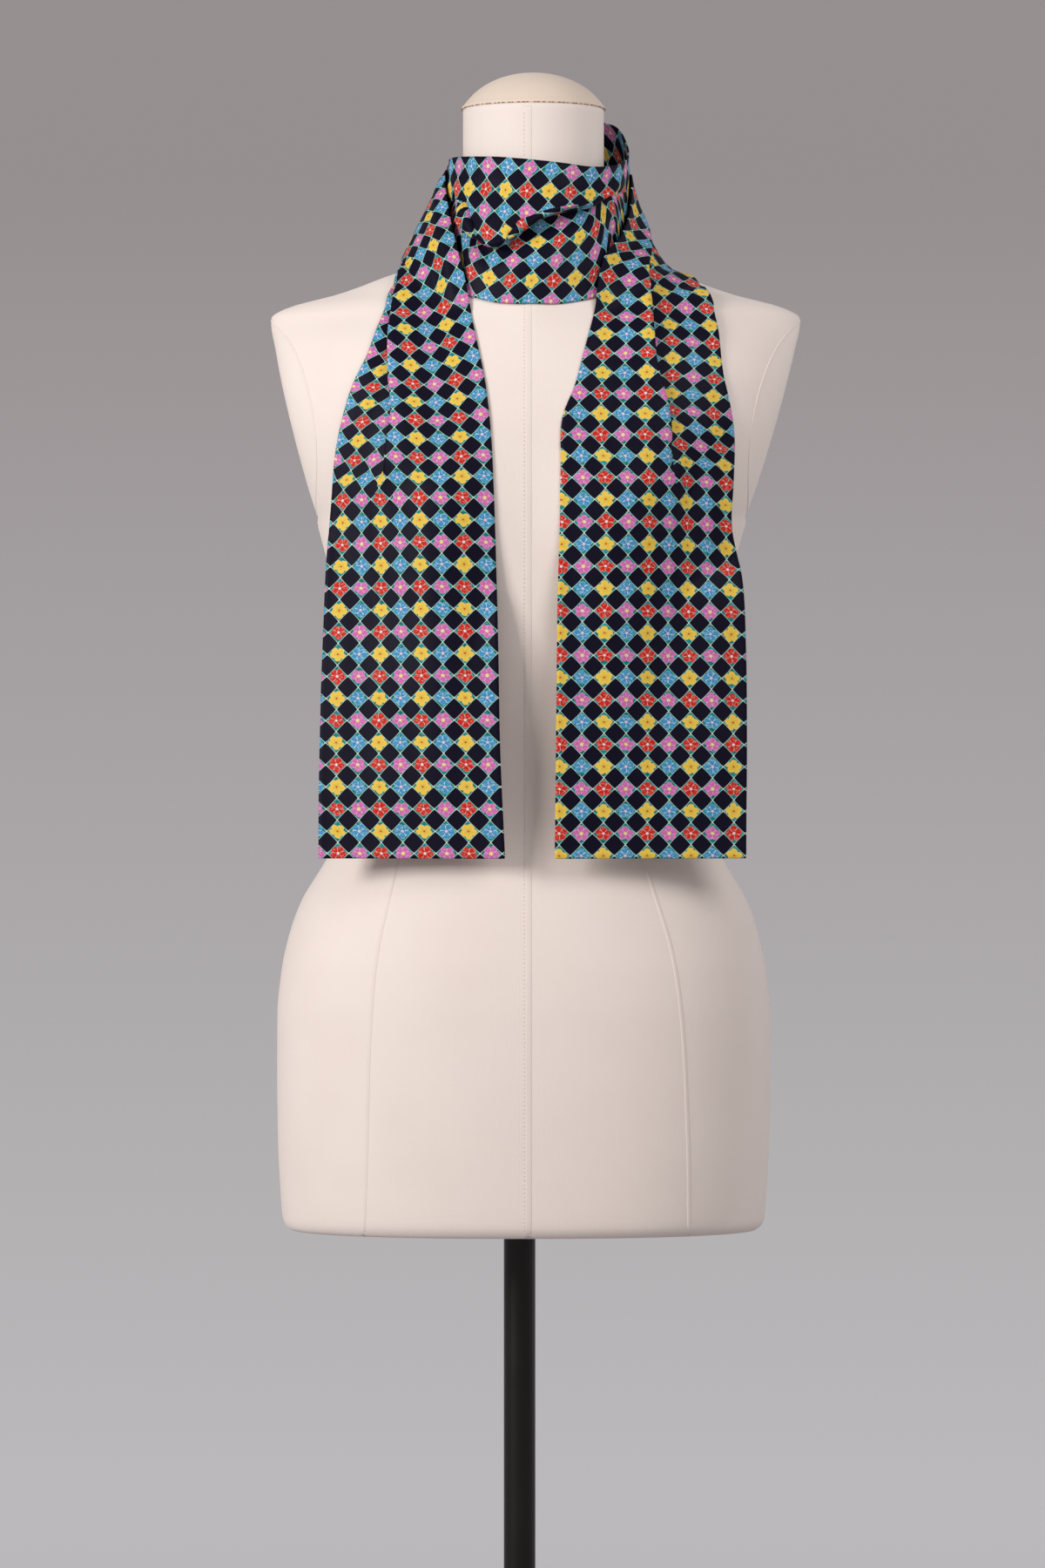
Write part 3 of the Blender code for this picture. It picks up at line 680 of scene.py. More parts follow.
def bust(across, height):
    """Rise of the bust over the plain section."""
    beside = (np.abs(across) - BUST_OUT) / BUST_WIDE
    above = (height - BUST_HEIGHT) / BUST_TALL
    return BUST_RISE * np.exp(-(beside**2) - above**2)


def soft_limit(value, limit):
    """The value kept under a limit, with a rounded edge where it reaches it."""
    return limit - PLATE_ROUND * np.logaddexp(0, (limit - value) / PLATE_ROUND)


def form_points(height, turn):
    """Points of the form's surface, turned from the viewer's right through the back."""
    height, turn = np.broadcast_arrays(np.asarray(height, float), np.asarray(turn, float))
    half, front, behind, square, middle = form_section(height)
    bulge = plate_bulge(height)
    cosine = np.cos(turn)
    sine = np.sin(turn)
    across = (half + bulge) * np.abs(cosine) ** (2 / square)
    across = np.where(bulge > 0, soft_limit(across, half), across) * np.sign(cosine)
    depth = np.where(sine < 0, front, behind)
    out = depth * np.sign(sine) * np.abs(sine) ** (2 / square)
    out += np.where(sine < 0, bust(across, height) * sine, 0.0)
    return np.stack((middle + across, out, height), axis=-1)


waist = form_points(WAIST_HEIGHT, np.array((0.0, math.pi)))
print("waist width:", round(float(np.ptp(waist[:, 0])), 4))

# %% [markdown]
# The cover is sewn cloth pulled tight over the form. It could be a few rings with a subdivision on top, but
# that would shrink it away from the solid. So it is one mesh lofted through many level rings, close enough
# for a smooth outline from every side, and closed flat below and above. The map on it is in metres, which
# lets the weave of the cloth keep about one size all over.

# %% The form's cover
COVER_POINTS = 192
COVER_STEP = 0.005
GIRTH_SCALE = 0.18
RIM_INSET = 0.985
RIM_DROP = 0.0008
COVER_SHARP = 50


def ring_heights():
    """Heights of the cover's rings, close together and with every section of the form among them."""
    heights = []
    for low, high in zip(FORM_SECTIONS[:-1, 0], FORM_SECTIONS[1:, 0]):
        parts = max(2, math.ceil((high - low) / COVER_STEP))
        heights.extend(np.linspace(low, high, parts, endpoint=False))
    heights.append(FORM_SECTIONS[-1, 0])
    return np.array(heights)


def set_map(mesh, corner_places):
    """Gives a mesh its map in metres, one place for each corner of each face, in their order."""
    layer = mesh.uv_layers.new(name=MAP)
    layer.data.foreach_set("uv", np.asarray(corner_places, dtype=np.float32).ravel())


def place_piece(name, mesh, finish):
    """A finished piece of the object: smooth, in its finish, and fixed to the frame."""
    mesh.materials.append(finish)
    mesh.shade_smooth()
    piece = add_object(name, mesh)
    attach(piece, "root")
    return piece


def make_cover():
    """The covered torso and neck."""
    heights = ring_heights()
    turns = np.linspace(0, 2 * math.pi, COVER_POINTS, endpoint=False)
    points = form_points(heights[:, None], turns[None, :])
    crown = points[-1].copy()
    crown[:, 0:2] = (NECK_X, NECK_Y) + (crown[:, 0:2] - (NECK_X, NECK_Y)) * RIM_INSET
    points[-1, :, 2] -= RIM_DROP
    points = np.concatenate((points, crown[None]))
    count = len(points)
    faces = []
    places = []
    for row in range(count - 1):
        for index in range(COVER_POINTS):
            after = (index + 1) % COVER_POINTS
            first = row * COVER_POINTS
            faces.append((first + index, first + after, first + COVER_POINTS + after,
                          first + COVER_POINTS + index))
            left = turns[index] * GIRTH_SCALE
            right = (turns[index] + turns[1]) * GIRTH_SCALE
            low = points[row, 0, 2]
            high = points[row + 1, 0, 2]
            places.extend(((left, low), (right, low), (right, high), (left, high)))
    for ring, order in ((0, -1), (count - 1, 1)):
        faces.append([ring * COVER_POINTS + index for index in range(COVER_POINTS)][::order])
        places.extend(points[ring, ::order, 0:2])
    mesh = bpy.data.meshes.new("dress_form_cover")
    mesh.from_pydata(points.reshape(-1, 3), [], faces)
    set_map(mesh, places)
    cover = place_piece("dress_form_cover", mesh, cover_cloth)
    mesh.set_sharp_from_angle(angle=math.radians(COVER_SHARP))
    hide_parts("form_body")
    return cover


cover = make_cover()
print("faces of the cover:", len(cover.data.polygons))

# %% [markdown]
# The cover is sewn from long panels. Its seams show as low ridges: a stitched band down the middle of the
# front and the back, a curved seam on each side of it over the bust and hip, one under each arm, and one
# round each armhole. Lines in the finish would be flat from the side, so each seam is a low arch swept
# along a line. The line is read from the form's surface, which keeps it from floating or sinking.

# %% Lines for the seams
SLOPE_STEP = 0.001
SUNK = 0.0004
ARCH_POINTS = 9


def turn_at(height, x, behind=False):
    """The turn at which the form's surface has a given x, in front or behind."""
    half, _, _, square, middle = form_section(height)
    reach = half + plate_bulge(height)
    share = np.clip((x - middle) / reach, -1, 1)
    turn = np.arccos(np.sign(share) * np.abs(share) ** (square / 2))
    return turn if behind else -turn


def surface_line(height, turn):
    """Points along a line on the form, with the directions out of the form and across the line."""
    points = form_points(height, turn)
    rising = form_points(height + SLOPE_STEP, turn) - form_points(height - SLOPE_STEP, turn)
    turning = form_points(height, turn + SLOPE_STEP) - form_points(height, turn - SLOPE_STEP)
    out = np.cross(turning, rising)
    out /= np.linalg.norm(out, axis=1)[:, None]
    along = np.gradient(points, axis=0)
    side = np.cross(along, out)
    side /= np.linalg.norm(side, axis=1)[:, None]
    return points, out, side


def swept(points, out, side, profile):
    """A tube of a given profile along a line. The profile gives places across the line and out of it."""
    rings = [points + side * across + out * height for across, height in profile]
    grid = np.stack(rings, axis=1)
    count = len(profile)
    faces = []
    for row in range(len(grid) - 1):
        for index in range(count):
            after = (index + 1) % count
            faces.append((row * count + index, row * count + after,
                          (row + 1) * count + after, (row + 1) * count + index))
    faces.append(list(range(count))[::-1])
    faces.append([(len(grid) - 1) * count + index for index in range(count)])
    return grid.reshape(-1, 3), faces


def arch(width, height):
    """The profile of a low ridge whose foot lies just under the cloth."""
    shares = np.linspace(1, -1, ARCH_POINTS)
    top = [(width / 2 * share, (height + SUNK) * (1 - share**4) - SUNK) for share in shares]
    return top + [(0.0, -2 * SUNK)]


print("points in a seam's profile:", ARCH_POINTS + 1)

# %% [markdown]
# The curved seams aren't mirror images on the real form, so each has a short table of its own, used in
# front and behind. The middle band, the side seams and the round armholes follow from a few sizes.

# %% Where the seams run
# height and x of the curved seams in front, from the shoulder to the hip
LEFT_PRINCESS = np.array((
    (1.4640, -0.0930), (1.4000, -0.0830), (1.2950, -0.0760), (1.2000, -0.0750), (1.1150, -0.0790),
    (1.0450, -0.0910), (0.9705, -0.1066), (0.9187, -0.1111), (0.8152, -0.1143), (0.7640, -0.1163),
))
RIGHT_PRINCESS = np.array((
    (1.4640, 0.1140), (1.4000, 0.1040), (1.2950, 0.0950), (1.2000, 0.0890), (1.1150, 0.0880),
    (1.0450, 0.0935), (0.9770, 0.1129), (0.9380, 0.1194), (0.8410, 0.1252), (0.7640, 0.1265),
))
SEAM_STEP = 0.004
CENTRE_X = 0.0064
CENTRE_BAND = 0.0070
SEAM_WIDTH = 0.0040
SEAM_HEIGHT = 0.0003
ARMHOLE_MIDDLE = 1.378
ARMHOLE_HALF = 0.074
ARMHOLE_TURN = 0.62
ARMHOLE_POINTS = 120
ARMHOLE_OPEN = 0.06
ARMHOLE_WIDTH = 0.0022
ARMHOLE_HEIGHT = 0.0004
PANEL_TOP = 1.462
ABOVE_HEM = 0.001
BELOW_CAP = 0.002
BELOW_ARM = 0.004


def seam_heights(low, high):
    """Heights along a seam, close together."""
    return np.linspace(low, high, int((high - low) / SEAM_STEP) + 1)


def read_smooth(table, heights):
    """The second column of a table read at some heights, on a smooth line through its points."""
    rows = table[np.argsort(table[:, 0])]
    spans = np.diff(rows[:, 0])
    slopes = np.diff(rows[:, 1]) / spans
    tangents = np.concatenate((slopes[:1], (slopes[:-1] + slopes[1:]) / 2, slopes[-1:]))
    index = np.clip(np.searchsorted(rows[:, 0], heights, side="right") - 1, 0, len(rows) - 2)
    share = (heights - rows[index, 0]) / spans[index]
    return hermite(rows[:, 1], tangents, index, share, spans[index])


def seam_lines():
    """Every seam of the cover: its line on the surface, its width and its height."""
    lines = []
    low = HIP_UNDERSIDE + ABOVE_HEM
    whole = seam_heights(low, NECK_TOP - BELOW_CAP)
    panel = seam_heights(low, PANEL_TOP)
    side = seam_heights(low, UNDERARM - BELOW_ARM)
    for behind in (False, True):
        centre = turn_at(whole, np.full_like(whole, CENTRE_X), behind)
        lines.append((surface_line(whole, centre), CENTRE_BAND, SEAM_HEIGHT))
        for table in (LEFT_PRINCESS, RIGHT_PRINCESS):
            turn = turn_at(panel, read_smooth(table, panel), behind)
            lines.append((surface_line(panel, turn), SEAM_WIDTH, SEAM_HEIGHT))
    for middle in (0.0, math.pi):
        lines.append((surface_line(side, np.full_like(side, middle)), SEAM_WIDTH, SEAM_HEIGHT))
        ways = np.linspace(ARMHOLE_OPEN, 2 * math.pi - ARMHOLE_OPEN, ARMHOLE_POINTS)
        heights = ARMHOLE_MIDDLE + ARMHOLE_HALF * np.cos(ways)
        round_arm = surface_line(heights, middle + ARMHOLE_TURN * np.sin(ways))
        lines.append((round_arm, ARMHOLE_WIDTH, ARMHOLE_HEIGHT))
    return lines


print("lines of seams:", len(seam_lines()))

# %% [markdown]
# All the seams are joined into one piece, because they are the same cloth and never move apart. Blender's
# own Join works on selected objects. Joining the lists of points and faces first needs no selection, and
# the stitches use the same helper.

# %% The seams as one piece
def joined(parts):
    """One list of points and one of faces from several."""
    points = []
    faces = []
    for part_points, part_faces in parts:
        first = sum(len(done) for done in points)
        points.append(part_points)
        faces.extend([[first + corner for corner in face] for face in part_faces])
    return np.concatenate(points), faces


def flat_map(mesh, points):
    """A map in metres seen from the front, for small pieces that hug the form."""
    corners = np.array([loop.vertex_index for loop in mesh.loops])
    set_map(mesh, np.asarray(points)[corners][:, (0, 2)])


def make_seams():
    """All the seams as one piece."""
    parts = [swept(*line, arch(width, height)) for line, width, height in seam_lines()]
    points, faces = joined(parts)
    mesh = bpy.data.meshes.new("cover_seams")
    mesh.from_pydata(points, [], faces)
    flat_map(mesh, points)
    return place_piece("cover_seams", mesh, seam_cloth)


seams = make_seams()
print("faces of the seams:", len(seams.data.polygons))

# %% [markdown]
# A row of stitches holds one side of the middle band. A stitch is thread that lies on the cloth for two
# millimetres and then dives into it. Real tubes would need many faces for something this small, so each is
# a short low lozenge, and one loop sets them along a line that turns with the form.

# %% Stitches
STITCH_STEP = 0.0031
STITCH_LONG = 0.0020
STITCH_WIDE = 0.0005
STITCH_OUT = 0.6
STITCH_IN = 0.3
LOZENGE_SIDES = 4
FROM_ENDS = 0.004
BESIDE_BAND = 0.42
ON_BAND = 0.75


def lozenge(centre, along, side, out, length, width):
    """A small pointed stitch that stands a little out of the cloth."""
    waist = [
        centre + side * width / 2,
        centre + out * width * STITCH_OUT,
        centre - side * width / 2,
        centre - out * width * STITCH_IN,
    ]
    points = [centre - along * length / 2, *waist, centre + along * length / 2]
    faces = []
    for index in range(LOZENGE_SIDES):
        after = (index + 1) % LOZENGE_SIDES
        faces.append((0, 1 + after, 1 + index))
        faces.append((LOZENGE_SIDES + 1, 1 + index, 1 + after))
    return np.array(points), faces


def stitches_along(points, out, side, shift, height):
    """Stitches at even steps along a line, beside it by a shift."""
    lengths = np.concatenate(((0,), np.cumsum(np.linalg.norm(np.diff(points, axis=0), axis=1))))
    parts = []
    for distance in np.arange(STITCH_STEP, lengths[-1] - STITCH_STEP, STITCH_STEP):
        index = min(int(np.searchsorted(lengths, distance)), len(points) - 1)
        along = points[index] - points[index - 1]
        along = along / np.linalg.norm(along)
        share = (distance - lengths[index - 1]) / (lengths[index] - lengths[index - 1])
        centre = points[index - 1] + (points[index] - points[index - 1]) * share
        centre = centre + side[index] * shift + out[index] * height
        parts.append(lozenge(centre, along, side[index], out[index], STITCH_LONG, STITCH_WIDE))
    return parts


def make_cover_stitches():
    """The stitches beside the middle band, in front and behind."""
    heights = seam_heights(HIP_UNDERSIDE + FROM_ENDS, NECK_TOP - FROM_ENDS)
    parts = []
    for behind in (False, True):
        turn = turn_at(heights, np.full_like(heights, CENTRE_X), behind)
        points, out, side = surface_line(heights, turn)
        to_left = -np.sign(side[0, 0]) * CENTRE_BAND * BESIDE_BAND
        parts.extend(stitches_along(points, out, side, to_left, SEAM_HEIGHT * ON_BAND))
    points, faces = joined(parts)
    mesh = bpy.data.meshes.new("cover_stitches")
    mesh.from_pydata(points, [], faces)
    flat_map(mesh, points)
    return place_piece("cover_stitches", mesh, seam_cloth)


stitches = make_cover_stitches()
print("stitches in the cover:", len(stitches.data.polygons) // (2 * LOZENGE_SIDES))

# %% [markdown]
# The cap, the pole and the base are all round, as if turned on a lathe. A Screw modifier could turn them,
# but then they would have no map in metres for their finish. So a helper swings one profile round an
# upright axis and writes the map as it goes.

# %% Turned pieces
TURN_STEPS = 96
TURNED_SHARP = 35


def turned_piece(name, profile, x, y, finish):
    """A closed piece turned round an upright axis. Its profile runs down the outer side."""
    rows = np.array([point for point in profile if point[0] > 0])
    angles = 2 * math.pi * np.arange(TURN_STEPS) / TURN_STEPS
    lengths = np.concatenate(((0,), np.cumsum(np.linalg.norm(np.diff(rows, axis=0), axis=1))))
    points = []
    for radius, height in rows:
        points.extend(zip(x + radius * np.cos(angles), y + radius * np.sin(angles),
                          np.full(TURN_STEPS, height)))
    faces = []
    places = []
    width = rows[:, 0].max()
    for row in range(len(rows) - 1):
        for index in range(TURN_STEPS):
            after = (index + 1) % TURN_STEPS
            first = row * TURN_STEPS
            faces.append((first + index, first + TURN_STEPS + index, first + TURN_STEPS + after,
                          first + after))
            left = angles[index] * width
            right = left + angles[1] * width
            places.extend(((left, lengths[row]), (left, lengths[row + 1]),
                           (right, lengths[row + 1]), (right, lengths[row])))
    last = (len(rows) - 1) * TURN_STEPS
    faces.append(list(range(TURN_STEPS)))
    faces.append([last + index for index in range(TURN_STEPS)][::-1])
    places.extend([points[index][0:2] for index in range(TURN_STEPS)])
    places.extend([points[last + index][0:2] for index in range(TURN_STEPS)][::-1])
    mesh = bpy.data.meshes.new(name)
    mesh.from_pydata(points, [], faces)
    set_map(mesh, places)
    piece = place_piece(name, mesh, finish)
    mesh.set_sharp_from_angle(angle=math.radians(TURNED_SHARP))
    return piece


def rounded_corner(radius, height, size, from_degrees, to_degrees, steps=5):
    """Points of a small arc in a profile, round a centre."""
    angles = np.radians(np.linspace(from_degrees, to_degrees, steps))
    return [(radius + size * math.cos(angle), height + size * math.sin(angle)) for angle in angles]


print("steps round a turned piece:", TURN_STEPS)

# %% [markdown]
# The cap is a shallow padded dome that sits on the neck. A squashed sphere would have no rim, so its
# profile is an arc that is a little fuller on its slope, as padding makes it, and ends in a rounded rim.

# %% The cap
CAP_RADIUS = 0.0545
CAP_RISE = 0.0270
CAP_RIM = 0.0015
CAP_ROLL = 0.0016
DOME_SHARE = 0.964
CAP_PADDING = 0.0012
CAP_STEPS = 28
CAP_TOP_TURN = 0.01
CAP_ROLL_TURNS = (42, -90)
CAP_ROLL_STEPS = 9
SEAM_GAP = 0.0003


def make_cap():
    """The dome on the neck."""
    foot = NECK_TOP + SEAM_GAP
    sphere = (CAP_RADIUS**2 + CAP_RISE**2) / (2 * CAP_RISE)
    widest = math.asin(CAP_RADIUS / sphere)
    profile = []
    for angle in np.linspace(CAP_TOP_TURN, widest * DOME_SHARE, CAP_STEPS):
        height = foot + CAP_RIM + CAP_RISE - sphere * (1 - math.cos(angle))
        padding = CAP_PADDING * math.sin(math.pi * (angle / widest) ** 2)
        profile.append((sphere * math.sin(angle), height + padding))
    profile += rounded_corner(CAP_RADIUS - CAP_ROLL, foot + CAP_ROLL, CAP_ROLL,
                              *CAP_ROLL_TURNS, CAP_ROLL_STEPS)
    cap = turned_piece("cap_dome", profile, NECK_X, NECK_Y, cap_cloth)
    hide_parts("neck_cap")
    return cap


cap = make_cap()
print("height of the cap's top:", round(max(point.co.z for point in cap.data.vertices), 4))

# %% [markdown]
# The stand is a dark steel pole in a round foot. The photograph's edge cuts the foot off, so it is a plain
# disc with a low hub. Its edges are rounded in the profile, because a dark edge shows only as the thin
# bright line that a rounding gives it.

# %% The stand
POLE_RADIUS = 0.0120
BASE_RADIUS = 0.2200
BASE_THICK = 0.0140
BASE_EDGE = 0.0060
BASE_EDGE_STEPS = 8
BASE_SLOPE = 0.004
HUB_RADIUS = 0.0280
HUB_TOP = 0.0400
HUB_EDGE = 0.002
FOOT_FILLET = 0.004


def make_stand():
    """The pole, and the round base with its hub."""
    pole_profile = [(POLE_RADIUS, HIP_UNDERSIDE - SEAM_GAP), (POLE_RADIUS, HUB_TOP + SEAM_GAP)]
    pole = turned_piece("pole_tube", pole_profile, 0.0, 0.0, dark_metal)
    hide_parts("stand_pole")
    fillet_at = BASE_THICK + FOOT_FILLET
    disc_edge = BASE_THICK - BASE_SLOPE
    base_profile = (
        rounded_corner(HUB_RADIUS - HUB_EDGE, HUB_TOP - HUB_EDGE, HUB_EDGE, 90, 0)
        + [(HUB_RADIUS, fillet_at)]
        + rounded_corner(HUB_RADIUS + FOOT_FILLET, fillet_at, FOOT_FILLET, 180, 270)
        + [(BASE_RADIUS - BASE_EDGE, disc_edge)]
        + rounded_corner(BASE_RADIUS - BASE_EDGE, disc_edge - BASE_EDGE, BASE_EDGE, 90, 0, BASE_EDGE_STEPS)
        + [(BASE_RADIUS, 0.0)]
    )
    base = turned_piece("base_disc", base_profile, 0.0, 0.0, dark_metal)
    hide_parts("stand_base")
    return pole, base


pole, base = make_stand()
print("pieces of the stand:", pole.name, base.name)

# %% [markdown]
# Brown thread holds the cap to the neck and shows as specks in the joint. Hand stitches are never quite
# even, so their steps and lengths follow two slow waves. Random numbers would do it too, but waves are the
# same on every run without a seed.

# %% Stitches under the cap
CAP_STITCHES = 88
CAP_THREAD = ink(150, 112, 86)
CAP_THREAD_DARK = ink(118, 84, 62)
THREAD_ROUGHNESS = 0.7
FIBRE_SCALE = 1500.0
STEP_UNEVEN = 0.18
STEP_WAVE = 2.4
LENGTH_WAVE = 1.7
THREAD_ABOVE = 0.0009
THREAD_LONG = 0.0028
THREAD_UNEVEN = 0.0008
THREAD_WIDE = 0.0009


def make_cap_stitches():
    """Brown stitches between the cap and the neck."""
    finish, tree, shader = new_finish("cap_thread", THREAD_ROUGHNESS)
    pin = tree.nodes.new("ShaderNodeTexCoord")
    fibres = noise(tree, pin.outputs["Object"], FIBRE_SCALE)
    tree.links.new(mixed(tree, fibres, CAP_THREAD, CAP_THREAD_DARK), shader.inputs["Base Color"])
    parts = []
    for index in range(CAP_STITCHES):
        angle = 2 * math.pi * (index + STEP_UNEVEN * math.sin(index * STEP_WAVE)) / CAP_STITCHES
        out = np.array((math.cos(angle), math.sin(angle), 0.0))
        along = np.array((-math.sin(angle), math.cos(angle), 0.0))
        centre = np.array((NECK_X, NECK_Y, NECK_TOP + THREAD_ABOVE)) + out * CAP_RADIUS
        length = THREAD_LONG + THREAD_UNEVEN * math.sin(index * LENGTH_WAVE)
        parts.append(lozenge(centre, along, np.array((0.0, 0.0, 1.0)), out, length, THREAD_WIDE))
    points, faces = joined(parts)
    mesh = bpy.data.meshes.new("cap_stitches")
    mesh.from_pydata(points, [], faces)
    return place_piece("cap_stitches", mesh, finish)


cap_stitches = make_cap_stitches()
print("stitches under the cap:", CAP_STITCHES)

# %% [markdown]
# The scarf is a strip that hangs down on the left, passes behind the neck, crosses the throat, passes
# behind the neck again and hangs down on the right. A simulation would drape it, but never in the
# photograph's folds, so it is described by rows across it, from one hem to the other. Each row has an outer
# and an inner edge, and one long tuck in which the inner side laps over the outer side. The tails come
# first. How much a row is laid says how far it hangs from the chest, and the fold how far its tuck closes.

# %% Rows of the tails
# outer edge x, y, z, inner edge x, y, z, laid, bulge, tuck, fold
LEFT_TAIL = (
    (-0.1490, -0.0980, 1.0453, -0.0113, -0.1210, 1.0453, 0.00, 0.0020, 0.42, 0.00),
    (-0.1484, -0.0930, 1.1257, -0.0149, -0.1200, 1.1257, 0.20, 0.0030, 0.42, 0.00),
    (-0.1458, -0.0850, 1.2158, -0.0167, -0.1180, 1.2158, 0.60, 0.0020, 0.42, 0.00),
    (-0.1436, -0.0800, 1.2670, -0.0181, -0.1100, 1.2670, 0.90, 0.0010, 0.42, 0.00),
    (-0.1400, -0.0700, 1.3150, -0.0199, -0.1000, 1.3220, 1.00, 0.0000, 0.31, 0.20),
    (-0.1372, -0.0700, 1.3470, -0.0213, -0.0900, 1.3520, 1.00, 0.0000, 0.34, 0.90),
    (-0.1305, -0.0700, 1.3780, -0.0240, -0.0900, 1.3830, 1.00, 0.0000, 0.345, 1.00),
    (-0.1240, -0.0600, 1.3980, -0.0272, -0.0850, 1.4050, 1.00, 0.0000, 0.29, 1.00),
    (-0.1125, -0.0500, 1.4200, -0.0322, -0.0800, 1.4290, 0.90, 0.0010, 0.21, 1.00),
    (-0.0940, -0.0360, 1.4560, -0.0405, -0.0715, 1.4690, 0.00, 0.0040, 0.10, 1.00),
    (-0.0905, -0.0215, 1.4750, -0.0440, -0.0675, 1.4840, 0.00, 0.0060, 0.10, 1.00),
    (-0.0870, -0.0060, 1.4870, -0.0475, -0.0615, 1.4980, 0.00, 0.0085, 0.10, 0.90),
    (-0.0860, 0.0160, 1.4910, -0.0545, -0.0410, 1.5290, 0.00, 0.0085, 0.12, 0.60),
    (-0.0810, 0.0330, 1.4930, -0.0575, -0.0160, 1.5530, 0.00, 0.0080, 0.20, 0.25),
    (-0.0700, 0.0490, 1.4950, -0.0555, 0.0080, 1.5690, 0.00, 0.0060, 0.40, 0.00),
)
RIGHT_TAIL = (
    (0.1680, -0.0980, 1.0453, 0.0267, -0.1210, 1.0453, 0.00, 0.0020, 0.52, 0.00),
    (0.1686, -0.0930, 1.1200, 0.0275, -0.1200, 1.1200, 0.20, 0.0030, 0.52, 0.00),
    (0.1683, -0.0860, 1.2000, 0.0284, -0.1190, 1.2000, 0.60, 0.0020, 0.52, 0.00),
    (0.1655, -0.0820, 1.2550, 0.0292, -0.1150, 1.2550, 0.90, 0.0010, 0.52, 0.00),
    (0.1583, -0.0600, 1.2930, 0.0305, -0.1100, 1.2930, 1.00, 0.0000, 0.37, 0.00),
    (0.1596, -0.0600, 1.3280, 0.0312, -0.1000, 1.3350, 1.00, 0.0000, 0.37, 0.35),
    (0.1600, -0.0600, 1.3600, 0.0330, -0.0900, 1.3740, 1.00, 0.0000, 0.38, 0.80),
    (0.1575, -0.0600, 1.3800, 0.0417, -0.0850, 1.3960, 1.00, 0.0000, 0.43, 1.00),
    (0.1525, -0.0550, 1.4030, 0.0489, -0.0800, 1.4230, 1.00, 0.0000, 0.50, 1.00),
    (0.1455, -0.0450, 1.4260, 0.0565, -0.0760, 1.4530, 0.50, 0.0010, 0.55, 1.00),
    (0.1385, -0.0300, 1.4510, 0.0600, -0.0705, 1.4780, 0.00, 0.0020, 0.56, 1.00),
    (0.1325, -0.0140, 1.4700, 0.0650, -0.0600, 1.4970, 0.00, 0.0010, 0.58, 1.00),
    (0.1260, 0.0030, 1.4830, 0.0760, -0.0440, 1.5120, 0.00, -0.0010, 0.58, 0.90),
    (0.1190, 0.0190, 1.4870, 0.0840, -0.0160, 1.5365, 0.00, -0.0020, 0.56, 0.60),
    (0.1100, 0.0350, 1.4840, 0.0850, 0.0075, 1.5640, 0.00, -0.0010, 0.50, 0.25),
)
print("rows given for each tail:", len(LEFT_TAIL), len(RIGHT_TAIL))

# %% [markdown]
# Round the neck it is easier to say where a row is by its azimuth, from the front, and how far its edges
# stand off the neck. Low is the edge by the collar, and top the edge by the cap. Flare lifts the lip of the
# tuck off the cloth under it, and the valley is a hollow beside it.

# %% Rows round the neck
# azimuth in degrees, low z, low off, top z, top off, bulge, tuck, fold, flare, valley
NAPE_OVER = (
    (240, 1.4980, 0.0210, 1.5780, 0.0105, 0.0050, 0.45, 0.00, 0.000, 0.000),
    (210, 1.5150, 0.0175, 1.5850, 0.0100, 0.0040, 0.45, 0.00, 0.000, 0.000),
    (180, 1.5310, 0.0120, 1.5960, 0.0095, 0.0025, 0.45, 0.00, 0.000, 0.000),
    (150, 1.5500, 0.0110, 1.6080, 0.0125, 0.0020, 0.45, 0.00, 0.000, 0.000),
    (120, 1.5480, 0.0160, 1.6030, 0.0175, 0.0015, 0.45, 0.00, 0.000, 0.000),
    (105, 1.5280, 0.0165, 1.5880, 0.0175, 0.0015, 0.45, 0.00, 0.000, 0.000),
)
NECK_BAND = (
    (88, 1.5060, 0.0160, 1.5750, 0.0150, 0.0010, 0.73, 0.00, 0.000, 0.000),
    (70, 1.5030, 0.0150, 1.5680, 0.0130, 0.0015, 0.72, 0.30, 0.000, 0.000),
    (52, 1.4880, 0.0190, 1.5645, 0.0110, 0.0020, 0.69, 0.85, 0.000, 0.002),
    (36, 1.4660, 0.0265, 1.5635, 0.0095, 0.0030, 0.66, 1.00, 0.001, 0.006),
    (22, 1.4610, 0.0255, 1.5650, 0.0088, 0.0038, 0.63, 1.00, 0.002, 0.008),
    (11, 1.4590, 0.0248, 1.5663, 0.0081, 0.0040, 0.59, 1.00, 0.002, 0.010),
    (0, 1.4590, 0.0240, 1.5675, 0.0075, 0.0040, 0.535, 1.00, 0.001, 0.011),
    (-9, 1.4592, 0.0242, 1.5685, 0.0070, 0.0040, 0.475, 1.00, 0.002, 0.011),
    (-14, 1.4595, 0.0243, 1.5690, 0.0068, 0.0040, 0.420, 1.00, 0.002, 0.009),
    (-20, 1.4602, 0.0247, 1.5697, 0.0065, 0.0039, 0.365, 1.00, 0.003, 0.006),
    (-27, 1.4625, 0.0257, 1.5704, 0.0065, 0.0034, 0.360, 1.00, 0.003, 0.006),
    (-33, 1.4645, 0.0262, 1.5708, 0.0065, 0.0031, 0.415, 1.00, 0.002, 0.009),
    (-38, 1.4670, 0.0258, 1.5711, 0.0065, 0.0030, 0.465, 1.00, 0.002, 0.011),
    (-46, 1.4780, 0.0215, 1.5718, 0.0065, 0.0026, 0.51, 0.95, 0.002, 0.013),
    (-56, 1.4910, 0.0165, 1.5727, 0.0066, 0.0018, 0.55, 0.75, 0.001, 0.008),
    (-70, 1.5020, 0.0120, 1.5735, 0.0070, 0.0010, 0.60, 0.20, 0.000, 0.000),
    (-88, 1.5050, 0.0110, 1.5740, 0.0075, 0.0010, 0.55, 0.00, 0.000, 0.000),
)
